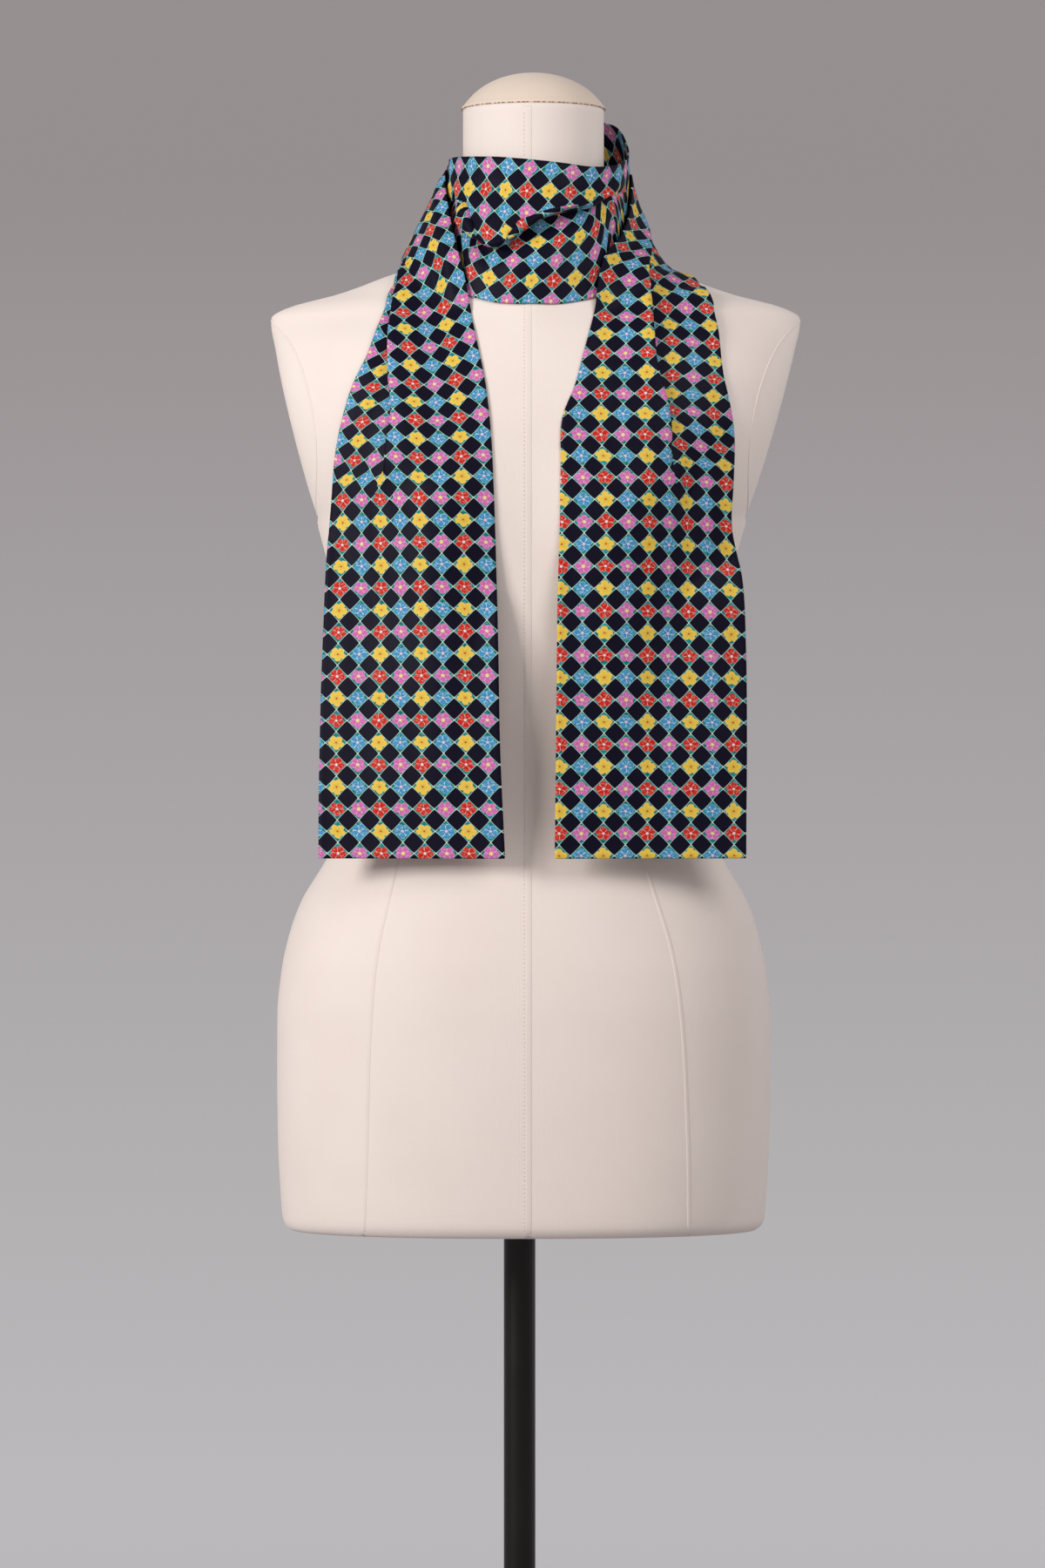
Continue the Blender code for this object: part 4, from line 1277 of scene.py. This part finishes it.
NAPE_UNDER = (
    (-105, 1.5040, 0.0090, 1.5730, 0.0060, 0.0010, 0.45, 0.00, 0.000, 0.000),
    (-120, 1.5030, 0.0080, 1.5720, 0.0045, 0.0010, 0.45, 0.00, 0.000, 0.000),
    (-150, 1.5040, 0.0045, 1.5680, 0.0022, 0.0010, 0.45, 0.00, 0.000, 0.000),
    (-180, 1.5030, 0.0040, 1.5600, 0.0018, 0.0005, 0.45, 0.00, 0.000, 0.000),
    (-210, 1.4920, 0.0140, 1.5410, 0.0040, 0.0005, 0.45, 0.00, 0.000, 0.000),
    (-240, 1.4850, 0.0390, 1.5400, 0.0220, 0.0005, 0.45, 0.00, 0.000, 0.000),
)


print("rows given round the neck:", len(NAPE_OVER), len(NECK_BAND), len(NAPE_UNDER))

# %% [markdown]
# Both kinds of rows become one table with the same columns, in order from the left hem to the right hem.
# The right tail is written from its hem up, as the left one is, so its rows are read backwards.

# %% One table for the whole strip
def neck_rows(rows):
    """Rows given round the neck, turned into edges in space with the columns of a tail's rows."""
    turned = []
    for azimuth, low_z, low_off, top_z, top_off, bulge, tuck, fold, flare, valley in rows:
        angle = math.radians(azimuth)
        aim = np.array((math.sin(angle), -math.cos(angle)))
        axis = np.array((NECK_X, NECK_Y))
        low = axis + aim * (NECK_RADIUS + low_off)
        top = axis + aim * (NECK_RADIUS + top_off)
        turned.append((*low, low_z, *top, top_z, 0.0, bulge, tuck, fold, flare, valley))
    return turned


def ribbon_table():
    """Every row of the scarf from the left hem to the right hem, and where each stretch begins."""
    stretches = (
        ("left_tail", [(*row, 0.0, 0.0) for row in LEFT_TAIL]),
        ("nape_over", neck_rows(NAPE_OVER)),
        ("neck_band", neck_rows(NECK_BAND)),
        ("nape_under", neck_rows(NAPE_UNDER)),
        ("right_tail", [(*row, 0.0, 0.0) for row in reversed(RIGHT_TAIL)]),
    )
    rows = []
    starts = {}
    for name, part in stretches:
        starts[name] = len(rows)
        rows.extend(part)
    return np.array(rows, dtype=float), starts


RIBBON, STARTS = ribbon_table()
print("rows given for the scarf:", len(RIBBON), "with stretches from", STARTS)

# %% [markdown]
# The given rows are centimetres apart, and silk bends smoothly between them. A smooth curve through the
# given rows makes as many rows as the fine sheet needs, about three millimetres apart, and carries every
# column of the table along with the edges.

# %% Fine rows
ROW_SPACING = 0.0032


def smooth_rows(table, spacing):
    """Rows on a smooth curve through a table, and where each lies among the table's rows."""
    middles = (table[:, 0:3] + table[:, 3:6]) / 2
    spans = np.linalg.norm(np.diff(middles, axis=0), axis=1)
    slopes = np.diff(table, axis=0) / spans[:, None]
    tangents = np.empty_like(table)
    tangents[0] = slopes[0]
    tangents[-1] = slopes[-1]
    before = spans[:-1, None]
    after = spans[1:, None]
    tangents[1:-1] = (slopes[:-1] * after + slopes[1:] * before) / (before + after)
    rows = []
    order = []
    for index, span in enumerate(spans):
        steps = math.ceil(span / spacing)
        for step in range(steps):
            rows.append(hermite(table, tangents, index, step / steps, span))
            order.append(index + step / steps)
    rows.append(table[-1])
    order.append(len(table) - 1)
    return np.array(rows), np.array(order)


ROWS, ORDER = smooth_rows(RIBBON, ROW_SPACING)
print("fine rows:", len(ROWS))

# %% [markdown]
# The cloth lies on the form where it touches it, and hangs straight down below the fullest part of the
# bust. Shrinkwrap would pull it into the waist, where real cloth hangs free. So a tail's points are moved
# out to the furthest that the form stands out above them, and every point is then pushed clear of the form.

# %% Where the cloth lies
REST_GAP = 0.0016
NUDGE = 0.0004
PUSHES = 5
LEVELS_ABOVE = 14
BASE_SAMPLES = 49
VALLEY_PAST_TUCK = 0.03
VALLEY_WIDTH = 0.13


def front_depth(x, height):
    """How far the form stands out in front at a place on the chest."""
    half, front, _, square, middle = form_section(height)
    across = x - middle
    share = np.clip(1 - (np.abs(across) / (half + plate_bulge(height))) ** square, 0, 1)
    return front * share ** (1 / square) + bust(across, height) * np.sqrt(share)


def drape_depth(x, height):
    """Depth of cloth that hangs from the chest: the furthest that the form stands out above it."""
    levels = np.linspace(height, np.maximum(height, CHEST_TOP), LEVELS_ABOVE)
    return front_depth(x, levels).max(axis=0)


def form_level(points):
    """Below zero inside the form, above zero outside."""
    half, front, behind, square, middle = form_section(points[..., 2])
    across = points[..., 0] - middle
    half = half + plate_bulge(points[..., 2])
    front = front + bust(across, points[..., 2])
    depth = np.where(points[..., 1] < 0, front, behind)
    reach = (np.abs(across) / half) ** square + (np.abs(points[..., 1]) / depth) ** square
    return reach ** (1 / square) - 1


def clear_of_form(points, gap):
    """The points moved straight out of the form until they are a gap away from it."""
    for _ in range(PUSHES):
        slope = np.stack([
            (form_level(points + NUDGE * axis) - form_level(points - NUDGE * axis)) / (2 * NUDGE)
            for axis in np.eye(3)
        ], axis=-1)
        steep = np.linalg.norm(slope, axis=-1)
        lack = np.maximum(gap - form_level(points) / steep, 0)
        points = points + slope * (lack / steep)[..., None]
    return points


def valley_depth(share, tuck, valley):
    """How deep the valley beside the tuck is at a share of the way across."""
    return valley * np.exp(-(((share - tuck - VALLEY_PAST_TUCK) / VALLEY_WIDTH) ** 2))


def base_grid(rows):
    """The surface that the scarf's under layer follows, from the outer to the inner edge."""
    shares = np.linspace(0, 1, BASE_SAMPLES)[None, :, None]
    outer = rows[:, None, 0:3]
    inner = rows[:, None, 3:6]
    laid, bulge, tuck = (rows[:, column, None] for column in (6, 7, 8))
    valley = rows[:, 11, None]
    ways = np.gradient((rows[:, 0:3] + rows[:, 3:6]) / 2, axis=0)
    out = np.cross(rows[:, 3:6] - rows[:, 0:3], ways)
    out /= np.linalg.norm(out, axis=1)[:, None]
    flat = shares[..., 0]
    rise = bulge * 4 * flat * (1 - flat)
    rise = rise - valley_depth(flat, tuck, valley)
    points = outer + (inner - outer) * shares + out[:, None, :] * rise[..., None]
    hung = -drape_depth(points[..., 0], points[..., 2]) - REST_GAP
    lower = np.minimum(points[..., 1], hung)
    points[..., 1] += (lower - points[..., 1]) * laid
    return clear_of_form(points, REST_GAP)


BASE = base_grid(ROWS)
print("base of the cloth:", BASE.shape)

# %% [markdown]
# A tuck is an S seen from its end: the upper part of the cloth runs to a rounded lip, turns back under it
# and meets the lower part in the dark. Only the lip and a thin shadow show, so the cloth that lies deeper
# inside isn't built. The same steps across are used in every row, so the sheet stays one even grid, and
# where the fold opens they spread out flat. A valley beside the tuck lets the flap hang over a hollow.

# %% The shape of the tuck
TUCK_RISE = 0.0056
TUCK_SETTLES = 0.6
UNDER_POINTS = 24
OVER_POINTS = 34
LIP_OPEN = 0.006
OPEN_PAST_LIP = 1.2
# place inwards of the lip in metres, and height as a share of the tuck's rise
LIP = (
    (0.0036, 0.00),
    (0.0040, 0.07),
    (0.0032, 0.22),
    (0.0012, 0.40),
    (-0.0004, 0.54),
    (-0.0011, 0.70),
    (-0.0008, 0.88),
)
FOOT = UNDER_POINTS


def smooth_step(share):
    """A soft rise from 0 to 1."""
    share = np.clip(share, 0.0, 1.0)
    return share * share * (3 - 2 * share)


def tuck_path(tuck, fold, flare, valley, reach):
    """Places across one row as shares of the visible width, and heights over the under layer."""
    lip = []
    for (folded, share), opened in zip(LIP, np.linspace(-LIP_OPEN, LIP_OPEN, len(LIP))):
        place = tuck + (folded * fold + opened * (1 - fold)) / reach
        lip.append((place, share * (TUCK_RISE + flare + valley_depth(place, tuck, valley))))
    start = tuck + (1 - fold) * LIP_OPEN * OPEN_PAST_LIP / reach
    under = [(share, 0.0) for share in np.linspace(0, lip[0][0], UNDER_POINTS, endpoint=False)]
    over = []
    for share in np.linspace(0, 1, OVER_POINTS):
        place = start + (1 - start) * share
        height = TUCK_RISE * (1 - smooth_step(share / TUCK_SETTLES)) + flare * (1 - share) ** 2
        over.append((place, height + valley_depth(place, tuck, valley)))
    path = np.array(under + lip + over)
    return path[:, 0], smooth_step(fold) * path[:, 1]


print("points across the sheet:", UNDER_POINTS + len(LIP) + OVER_POINTS)

# %% [markdown]
# The steps of the tuck are now set along every fine row: a place along the row, and a height straight out
# of the cloth. The result is the middle of the scarf's sheet, as a grid of points.

# %% The folded sheet
def read_along(line, shares):
    """Points some shares of the way along a row of evenly spaced points."""
    even = np.linspace(0, 1, len(line))
    return np.stack([np.interp(shares, even, line[:, axis]) for axis in range(3)], axis=-1)


def grid_normals(grid):
    """Directions straight out of a grid, away from the form."""
    out = np.cross(np.gradient(grid, axis=1), np.gradient(grid, axis=0))
    return out / np.linalg.norm(out, axis=2)[:, :, None]


def folded_cloth():
    """The middle of the scarf's sheet, with its tuck folded, row by row."""
    normals = grid_normals(BASE)
    cloth = []
    for index, row in enumerate(ROWS):
        tuck, fold, flare, valley = row[8:12]
        line = BASE[index]
        reach = np.linalg.norm(np.diff(line, axis=0), axis=1).sum()
        shares, heights = tuck_path(tuck, np.clip(fold, 0, 1), flare, valley, reach)
        out = read_along(normals[index], shares)
        cloth.append(read_along(line, shares) + out * heights[:, None])
    return np.array(cloth)


CLOTH = folded_cloth()
print("the sheet has rows and columns:", CLOTH.shape[:2])

# %% [markdown]
# The print needs a flat map of the cloth in metres: across from the inner edge, and along from the hem. An
# automatic unwrap would tear it, because the sheet is folded. Across is measured on the sheet itself, and
# where the tuck hides cloth, the under part's numbers jump by the hidden width, at the foot of the fold
# where nobody sees it. Along is measured column by column, so the rows of flowers tilt as they do on cloth
# that turns over a shoulder. Small tables then move the print where the real cloth has slipped or sagged.

# %% Where the print slips and sags
LEFT_ROW_PHASE = 0.81
BAND_ROW_PHASE = 0.87
RIGHT_ROW_PHASE = 0.09
BAND_LEAN = 0.13

# stretch and its row, then the print's shift across, the width that is turned under at the inner edge,
# both in repeats, and how much closer the print lies on the under part and on the over part
PRINT_ACROSS = (
    ("left_tail", 0, 0.42, 0.00, 1.00, 1.00),
    ("left_tail", 3, 0.60, 0.00, 1.00, 1.00),
    ("left_tail", 6, 0.60, 0.04, 0.98, 1.02),
    ("left_tail", 8, 0.60, 0.14, 1.00, 1.05),
    ("left_tail", 11, 0.60, 0.14, 1.00, 1.05),
    ("neck_band", 1, 0.60, 0.00, 1.00, 1.00),
    ("neck_band", 4, 0.60, 0.00, 1.08, 1.00),
    ("neck_band", 7, 0.60, 0.00, 1.08, 0.90),
    ("neck_band", 13, 0.60, 0.00, 1.08, 0.92),
    ("nape_under", 0, 0.60, 0.00, 1.00, 1.00),
    ("nape_under", 5, -0.15, 1.60, 1.00, 1.00),
    ("right_tail", 4, -0.15, 1.72, 1.00, 1.00),
    ("right_tail", 5, -0.15, 1.70, 1.00, 1.00),
    ("right_tail", 6, -0.15, 1.32, 1.00, 1.00),
    ("right_tail", 7, -0.15, 0.98, 1.00, 1.00),
    ("right_tail", 8, -0.15, 0.46, 1.00, 1.00),
    ("right_tail", 9, -0.15, 0.20, 1.00, 1.00),
    ("right_tail", 10, -0.15, 0.08, 1.00, 1.00),
    ("right_tail", 14, -0.15, 0.00, 1.00, 1.00),
)
# stretch and its row, then how many repeats the print sags towards the hem on the under part, and on the
# over part at the lip, in the middle and at the inner edge
PRINT_SAGS = (
    ("left_tail", 4, 0.00, 0.00, 0.00, 0.00),
    ("left_tail", 5, 0.08, 0.00, 0.30, 0.05),
    ("left_tail", 6, 0.38, 0.35, 0.65, 0.17),
    ("left_tail", 7, 0.70, 0.58, 0.85, 0.27),
    ("left_tail", 8, 0.90, 0.77, 0.95, 0.33),
    ("left_tail", 9, 1.00, 0.80, 0.72, 0.22),
    ("left_tail", 11, 0.60, 0.50, 0.40, 0.10),
    ("left_tail", 14, 0.00, 0.00, 0.00, 0.00),
    ("right_tail", 0, 0.00, 0.00, 0.00, 0.00),
    ("right_tail", 2, -1.00, -0.10, -0.10, -0.10),
    ("right_tail", 4, -1.27, -0.15, -0.15, -0.15),
    ("right_tail", 5, -1.42, -0.15, -0.15, -0.15),
    ("right_tail", 6, -1.25, -0.15, -0.15, -0.15),
    ("right_tail", 7, -0.95, -0.12, -0.12, -0.12),
    ("right_tail", 8, -0.60, -0.05, -0.05, -0.05),
    ("right_tail", 9, -0.10, 0.00, 0.00, 0.00),
    ("right_tail", 10, 0.00, 0.00, 0.00, 0.00),
)


def print_column(column, table=PRINT_ACROSS):
    """One column of a table like the ones above, read at each fine row."""
    places = [STARTS[row[0]] + row[1] for row in table]
    return np.interp(ORDER, places, [row[column] for row in table])[:, None]


def sags():
    """How far the print sags at each place of the sheet, in metres, with the foot's column doubled."""
    under, lip, middle, inner = (print_column(column, PRINT_SAGS) for column in (2, 3, 4, 5))
    share = np.linspace(0, 1, SHEET.shape[1] - FOOT)[None, :]
    over = np.where(share < 0.5, lip + (middle - lip) * share * 2,
                    middle + (inner - middle) * (share * 2 - 1))
    return REPEAT * np.concatenate((np.repeat(under, FOOT + 1, axis=1), over), axis=1)


print("the print's columns shift by", round(float(np.ptp(print_column(2))), 2), "repeats in all")

# %% [markdown]
# Across, the map is the distance from the inner edge. The column at the foot of the tuck is written twice,
# once for the under part and once for the over part, because the print jumps there.

# %% The map across
def across_map(cloth):
    """Metres from the inner edge, with the foot's column written twice: under part and over part."""
    steps = np.linalg.norm(np.diff(cloth, axis=1), axis=2)
    from_outer = np.concatenate((np.zeros((len(cloth), 1)), np.cumsum(steps, axis=1)), axis=1)
    turned = print_column(3) * REPEAT
    over = (from_outer[:, -1:] - from_outer) * print_column(5) + turned
    anchored = SCARF_WIDTH - from_outer * print_column(4)
    under = over + np.maximum(anchored - over, 0) * smooth_step(ROWS[:, 9:10])
    return np.concatenate((under[:, : FOOT + 1], over[:, FOOT:]), axis=1)


def doubled(grid):
    """A grid with the foot's column written twice."""
    return np.concatenate((grid[:, : FOOT + 1], grid[:, FOOT:]), axis=1)


print("columns of the map:", doubled(CLOTH).shape[1])

# %% [markdown]
# Along, the map is measured up each tail from its hem and both ways from the throat, on lines that keep
# their place across. The measures meet behind the neck, where they are blended. The print's rows are then
# set in step with the photograph at the left hem, the throat and the right hem.

# %% The map along
def climb(cloth, across, first, last):
    """Metres along the cloth from a first row to a last one, on lines that keep their place across."""
    way = 1 if last > first else -1
    along = {first: np.zeros(cloth.shape[1])}
    for row in range(first, last, way):
        here = across[row, ::-1]
        there = across[row + way]
        below = np.stack([np.interp(there, here, cloth[row, ::-1, axis]) for axis in range(3)], axis=-1)
        done = np.interp(there, here, along[row][::-1])
        along[row + way] = done + np.linalg.norm(cloth[row + way] - below, axis=1)
    return along


def nearest_phase(value, wanted, period):
    """The shift, at most half a period, that brings a value to a wanted phase."""
    lack = (wanted - value) % period
    return lack if lack <= period / 2 else lack - period


def stretch_share(first, last):
    """How far each row is from the start of one stretch to its end, softly from 0 to 1."""
    return smooth_step((ORDER - first) / (last - first))


def row_near(order):
    """The fine row at a place among the rows given for the scarf."""
    return int(np.searchsorted(ORDER, order))


def along_map(cloth, across):
    """Metres along the strip from the left hem, in step with the print of each stretch."""
    last = len(cloth) - 1
    throat = row_near(STARTS["neck_band"] + [row[0] for row in NECK_BAND].index(0))
    band_starts = row_near(STARTS["neck_band"])
    left_top = row_near(STARTS["nape_over"] - 1)
    right_top = row_near(STARTS["right_tail"])
    period = 2 * REPEAT
    up_left = climb(cloth, across, 0, band_starts)
    to_left = climb(cloth, across, throat, left_top)
    to_right = climb(cloth, across, throat, right_top)
    up_right = climb(cloth, across, last, row_near(STARTS["nape_under"] - 1))
    hem = LEFT_ROW_PHASE * REPEAT
    at_throat = hem + up_left[band_starts].mean() + to_left[band_starts].mean()
    at_throat += nearest_phase(at_throat, BAND_ROW_PHASE * REPEAT, period)
    total = at_throat + to_right[right_top].mean() + up_right[right_top].mean()
    total += nearest_phase(total, RIGHT_ROW_PHASE * REPEAT, period)
    over = stretch_share(STARTS["nape_over"] - 1, STARTS["neck_band"])
    under = stretch_share(STARTS["nape_under"] - 1, STARTS["right_tail"])
    along = np.empty(cloth.shape[:2])
    for row in range(last + 1):
        lean = BAND_LEAN * across[row]
        if row < left_top:
            along[row] = hem + up_left[row]
        elif row < band_starts:
            band = at_throat - to_left[row] - lean
            along[row] = (hem + up_left[row]) * (1 - over[row]) + band * over[row]
        elif row < throat:
            along[row] = at_throat - to_left[row] - lean
        elif row <= right_top:
            band = at_throat + to_right[row] - lean
            right = total - up_right[row] if under[row] > 0 else 0.0
            along[row] = band * (1 - under[row]) + right * under[row]
        else:
            along[row] = total - up_right[row]
    return along


def flat_places(cloth):
    """The place of each point of the sheet on the flat print."""
    across = across_map(cloth)
    along = along_map(doubled(cloth), across) + sags()
    return np.stack((across + print_column(2) * REPEAT, along), axis=-1)


print("fine rows where stretches start:", {name: row_near(start) for name, start in STARTS.items()})

# %% [markdown]
# Silk is soft and keeps small folds where it turns. Noise would scatter them evenly, which cloth never
# does. So each one is a soft ridge or trough along a short line on the cloth, placed after the
# photograph on the stretches that show, and in the same way on the hidden ones. Its depth fades at both
# ends. A slight slow waviness keeps the flat parts alive.

# %% Creases
# stretch, the edge that it is measured from, start and end (height on a tail, azimuth round the neck,
# then metres from the edge), width and height in metres. A height below zero is a trough.
CREASES = (
    ("left_tail", "inner", 1.490, 0.023, 1.410, 0.029, 0.006, -0.0020),
    ("left_tail", "inner", 1.535, 0.010, 1.455, 0.012, 0.004, 0.0012),
    ("left_tail", "inner", 1.530, 0.000, 1.440, 0.000, 0.005, -0.0030),
    ("left_tail", "outer", 1.335, 0.036, 1.265, 0.041, 0.010, 0.0014),
    ("left_tail", "outer", 1.420, 0.012, 1.355, 0.019, 0.006, 0.0013),
    ("left_tail", "inner", 1.300, 0.050, 1.060, 0.046, 0.016, 0.0012),
    ("left_tail", "outer", 1.250, 0.030, 1.060, 0.034, 0.014, -0.0010),
    ("right_tail", "outer", 1.350, 0.047, 1.285, 0.051, 0.009, 0.0020),
    ("right_tail", "outer", 1.350, 0.035, 1.275, 0.038, 0.008, -0.0016),
    ("right_tail", "inner", 1.470, 0.018, 1.390, 0.030, 0.008, 0.0012),
    ("right_tail", "outer", 1.315, 0.006, 1.265, 0.008, 0.009, -0.0016),
    ("right_tail", "inner", 1.300, 0.040, 1.060, 0.044, 0.015, 0.0011),
    ("right_tail", "outer", 1.240, 0.030, 1.070, 0.027, 0.015, 0.0010),
    ("neck_band", "inner", 72, 0.020, 34, 0.034, 0.004, -0.0014),
    ("neck_band", "inner", 62, 0.010, 18, 0.016, 0.005, -0.0009),
    ("neck_band", "inner", -8, 0.031, -46, 0.020, 0.006, -0.0010),
    ("neck_band", "outer", 60, 0.030, 30, 0.021, 0.004, 0.0012),
    ("neck_band", "outer", 18, 0.033, -18, 0.029, 0.005, 0.0014),
    ("nape_over", "inner", 205, 0.020, 130, 0.030, 0.006, -0.0012),
    ("nape_over", "outer", 225, 0.014, 150, 0.030, 0.007, 0.0013),
    ("nape_under", "inner", -112, 0.020, -200, 0.031, 0.006, -0.0012),
)
CREASE_ENDS = (0.02, 0.98)
SHEET_GAP = 0.0012
WAVE = 0.0004
# turns of the two waves for each metre along and across, in radians
FIRST_WAVE = (52, 31)
SECOND_WAVE = (19, 47)


print("creases placed by hand:", len(CREASES))

# %% [markdown]
# A crease is a soft bell across its line, which fades towards its ends. Its height is added straight out of
# the cloth, and the sheet is pushed clear of the form once more, so that no trough sinks into it.

# %% The creased sheet
def row_marks():
    """Where each fine row is: metres of height on a tail, metres round the neck elsewhere."""
    marks = np.concatenate((
        [(row[2] + row[5]) / 2 for row in LEFT_TAIL],
        [math.radians(row[0]) * NECK_RADIUS for row in NAPE_OVER + NECK_BAND + NAPE_UNDER],
        [(row[2] + row[5]) / 2 for row in reversed(RIGHT_TAIL)],
    ))
    return np.interp(ORDER, np.arange(len(marks)), marks)


def stretch_of_rows():
    """The name of the stretch that each fine row belongs to."""
    names = list(STARTS)
    begins = [STARTS[name] - 0.5 for name in names]
    return np.array(names)[np.searchsorted(begins, ORDER, side="right") - 1]


def crease_line(distance, marks, start_mark, start_place, end_mark, end_place, width):
    """How much of a crease each point of the sheet has: 1 on its line, fading to its ends and sides."""
    share = np.clip((marks - start_mark) / (end_mark - start_mark), 0, 1)
    beyond = marks - start_mark - (end_mark - start_mark) * share
    slant = (end_place - start_place) / (end_mark - start_mark)
    beside = (distance - start_place - (end_place - start_place) * share) / math.hypot(1, slant)
    fade = np.sin(math.pi * np.clip(share, *CREASE_ENDS)) ** 0.5
    return fade * np.exp(-((beside**2 + beyond**2) / width**2))


def creased(cloth):
    """The sheet with its creases and its slow waves."""
    marks = row_marks()[:, None]
    stretches = stretch_of_rows()[:, None]
    steps = np.linalg.norm(np.diff(cloth, axis=1), axis=2)
    from_outer = np.concatenate((np.zeros((len(cloth), 1)), np.cumsum(steps, axis=1)), axis=1)
    from_inner = from_outer[:, -1:] - from_outer
    folded = np.clip(ROWS[:, 9:10], 0, 1)
    is_over = (np.arange(cloth.shape[1]) >= FOOT)[None, :]
    rise = np.zeros(cloth.shape[:2])
    for stretch, edge, start_mark, start_place, end_mark, end_place, width, height in CREASES:
        if not stretch.endswith("tail"):
            start_mark, end_mark = (math.radians(mark) * NECK_RADIUS for mark in (start_mark, end_mark))
        distance = from_inner if edge == "inner" else from_outer
        other_part = ~is_over if edge == "inner" else is_over
        amount = crease_line(distance, marks, start_mark, start_place, end_mark, end_place, width)
        amount = amount * (1 - folded * other_part) * (stretches == stretch)
        rise += height * amount
    walk = np.arange(len(cloth))[:, None] * ROW_SPACING
    first = np.sin(walk * FIRST_WAVE[0] + from_outer * FIRST_WAVE[1])
    second = np.sin(walk * SECOND_WAVE[0] - from_outer * SECOND_WAVE[1])
    rise += WAVE * first * second
    return clear_of_form(cloth + grid_normals(cloth) * rise[..., None], SHEET_GAP)


SHEET = creased(CLOTH)
print("creases and waves move the sheet by", round(float(np.abs(SHEET - CLOTH).max()), 4), "metres at most")

# %% [markdown]
# The map is worked out on the finished sheet, so creases don't stretch the print. Its pace is how far the
# print advances for each metre of cloth: one where nothing is stretched, and more or less where the cloth
# turns at the nape and near the edge of what shows. The middle line's length is the length of the strip.

# %% The flat map
PLACES = flat_places(SHEET)
pace = np.abs(np.diff(PLACES[..., 1], axis=0)) / np.linalg.norm(np.diff(doubled(SHEET), axis=0), axis=2)
for name in STARTS:
    part = pace[stretch_of_rows()[:-1] == name]
    shares = [round(float(value), 2) for value in np.percentile(part, (5, 50, 95))]
    print("print's pace along", name, shares)

# %% [markdown]
# The sheet now gets its thickness. A Solidify modifier would make the same everywhere, but real cloth is
# folded over and pressed at its edges, so it is a little thicker there. The shell is built by hand: one
# grid in front, one behind, and a rim between them that ends in a ridge, so that no edge looks cut.

# %% Thickness and rim
HALF_THICK = 0.00035
EDGE_EXTRA = 0.00035
EDGE_WIDTH = 0.004


def half_thickness(sheet):
    """Half the thickness of the cloth at each point, more at its folded edges."""
    across = np.concatenate((np.zeros((len(sheet), 1)),
                             np.cumsum(np.linalg.norm(np.diff(sheet, axis=1), axis=2), axis=1)), axis=1)
    along = np.arange(len(sheet))[:, None] * ROW_SPACING
    edge = np.minimum(np.minimum(across, across[:, -1:] - across), np.minimum(along, along[::-1]))
    return HALF_THICK + EDGE_EXTRA * np.exp(-((edge / EDGE_WIDTH) ** 2))


def rim_order(rows, columns):
    """The border of a grid, once round, as row and column."""
    border = [(0, column) for column in range(columns)]
    border += [(row, columns - 1) for row in range(1, rows)]
    border += [(rows - 1, column) for column in range(columns - 2, -1, -1)]
    border += [(row, 0) for row in range(rows - 2, 0, -1)]
    return border


def rim_points(border, half):
    """Points of the ridge round the sheet, half a thickness outside its border."""
    rows, columns = SHEET.shape[:2]
    rim = []
    for row, column in border:
        near = (min(max(row, 1), rows - 2), min(max(column, 1), columns - 2))
        way = SHEET[row, column] - SHEET[near]
        rim.append(SHEET[row, column] + way / np.linalg.norm(way) * half[row, column])
    return np.array(rim)


print("points round the sheet:", len(rim_order(*SHEET.shape[:2])))

# %% [markdown]
# The faces of the shell are written in order, each with its corners' places on the flat print. Blender
# keeps one place for each corner of each face, which is what lets the print jump inside the tuck.

# %% The scarf
def place_at(row, column, over):
    """The flat place of a point, on the under part's or the over part's side of the doubled column."""
    return PLACES[row, column + 1 if over else column]


def sheet_faces():
    """Faces of the front and the back of the sheet, in turn, with their flat places."""
    rows, columns = SHEET.shape[:2]
    faces = []
    places = []
    for row in range(rows - 1):
        for column in range(columns - 1):
            over = column >= FOOT
            corners = ((row, column), (row, column + 1), (row + 1, column + 1), (row + 1, column))
            front = [at_row * columns + at_column for at_row, at_column in corners]
            spots = [place_at(*corner, over) for corner in corners]
            faces.append(front)
            places.extend(spots)
            faces.append([rows * columns + corner for corner in front[::-1]])
            places.extend(spots[::-1])
    return faces, places


def rim_faces(border):
    """Faces from the front to the ridge and from the ridge to the back, with their flat places."""
    rows, columns = SHEET.shape[:2]
    back = rows * columns
    ridge = 2 * back
    faces = []
    places = []
    for index, here in enumerate(border):
        after = (index + 1) % len(border)
        there = border[after]
        over = min(here[1], there[1]) >= FOOT
        spots = (place_at(*here, over), place_at(*there, over))
        first, second = (row * columns + column for row, column in (here, there))
        faces.append((second, first, ridge + index, ridge + after))
        faces.append((ridge + after, ridge + index, back + first, back + second))
        places.extend((spots[1], spots[0], spots[0], spots[1]))
        places.extend((spots[1], spots[0], spots[0], spots[1]))
    return faces, places


def make_scarf():
    """The whole scarf as one closed thin shell with its print map."""
    normals = grid_normals(SHEET)
    half = half_thickness(SHEET)[..., None]
    border = rim_order(*SHEET.shape[:2])
    points = np.concatenate(((SHEET + normals * half).reshape(-1, 3),
                             (SHEET - normals * half).reshape(-1, 3), rim_points(border, half)))
    faces, places = sheet_faces()
    more_faces, more_places = rim_faces(border)
    mesh = bpy.data.meshes.new("printed_scarf")
    mesh.from_pydata(points, [], faces + more_faces)
    set_map(mesh, places + more_places)
    scarf = place_piece("printed_scarf", mesh, printed_silk)
    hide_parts(*STARTS)
    return scarf


scarf = make_scarf()
print("faces of the scarf:", len(scarf.data.polygons))

# %% [markdown]
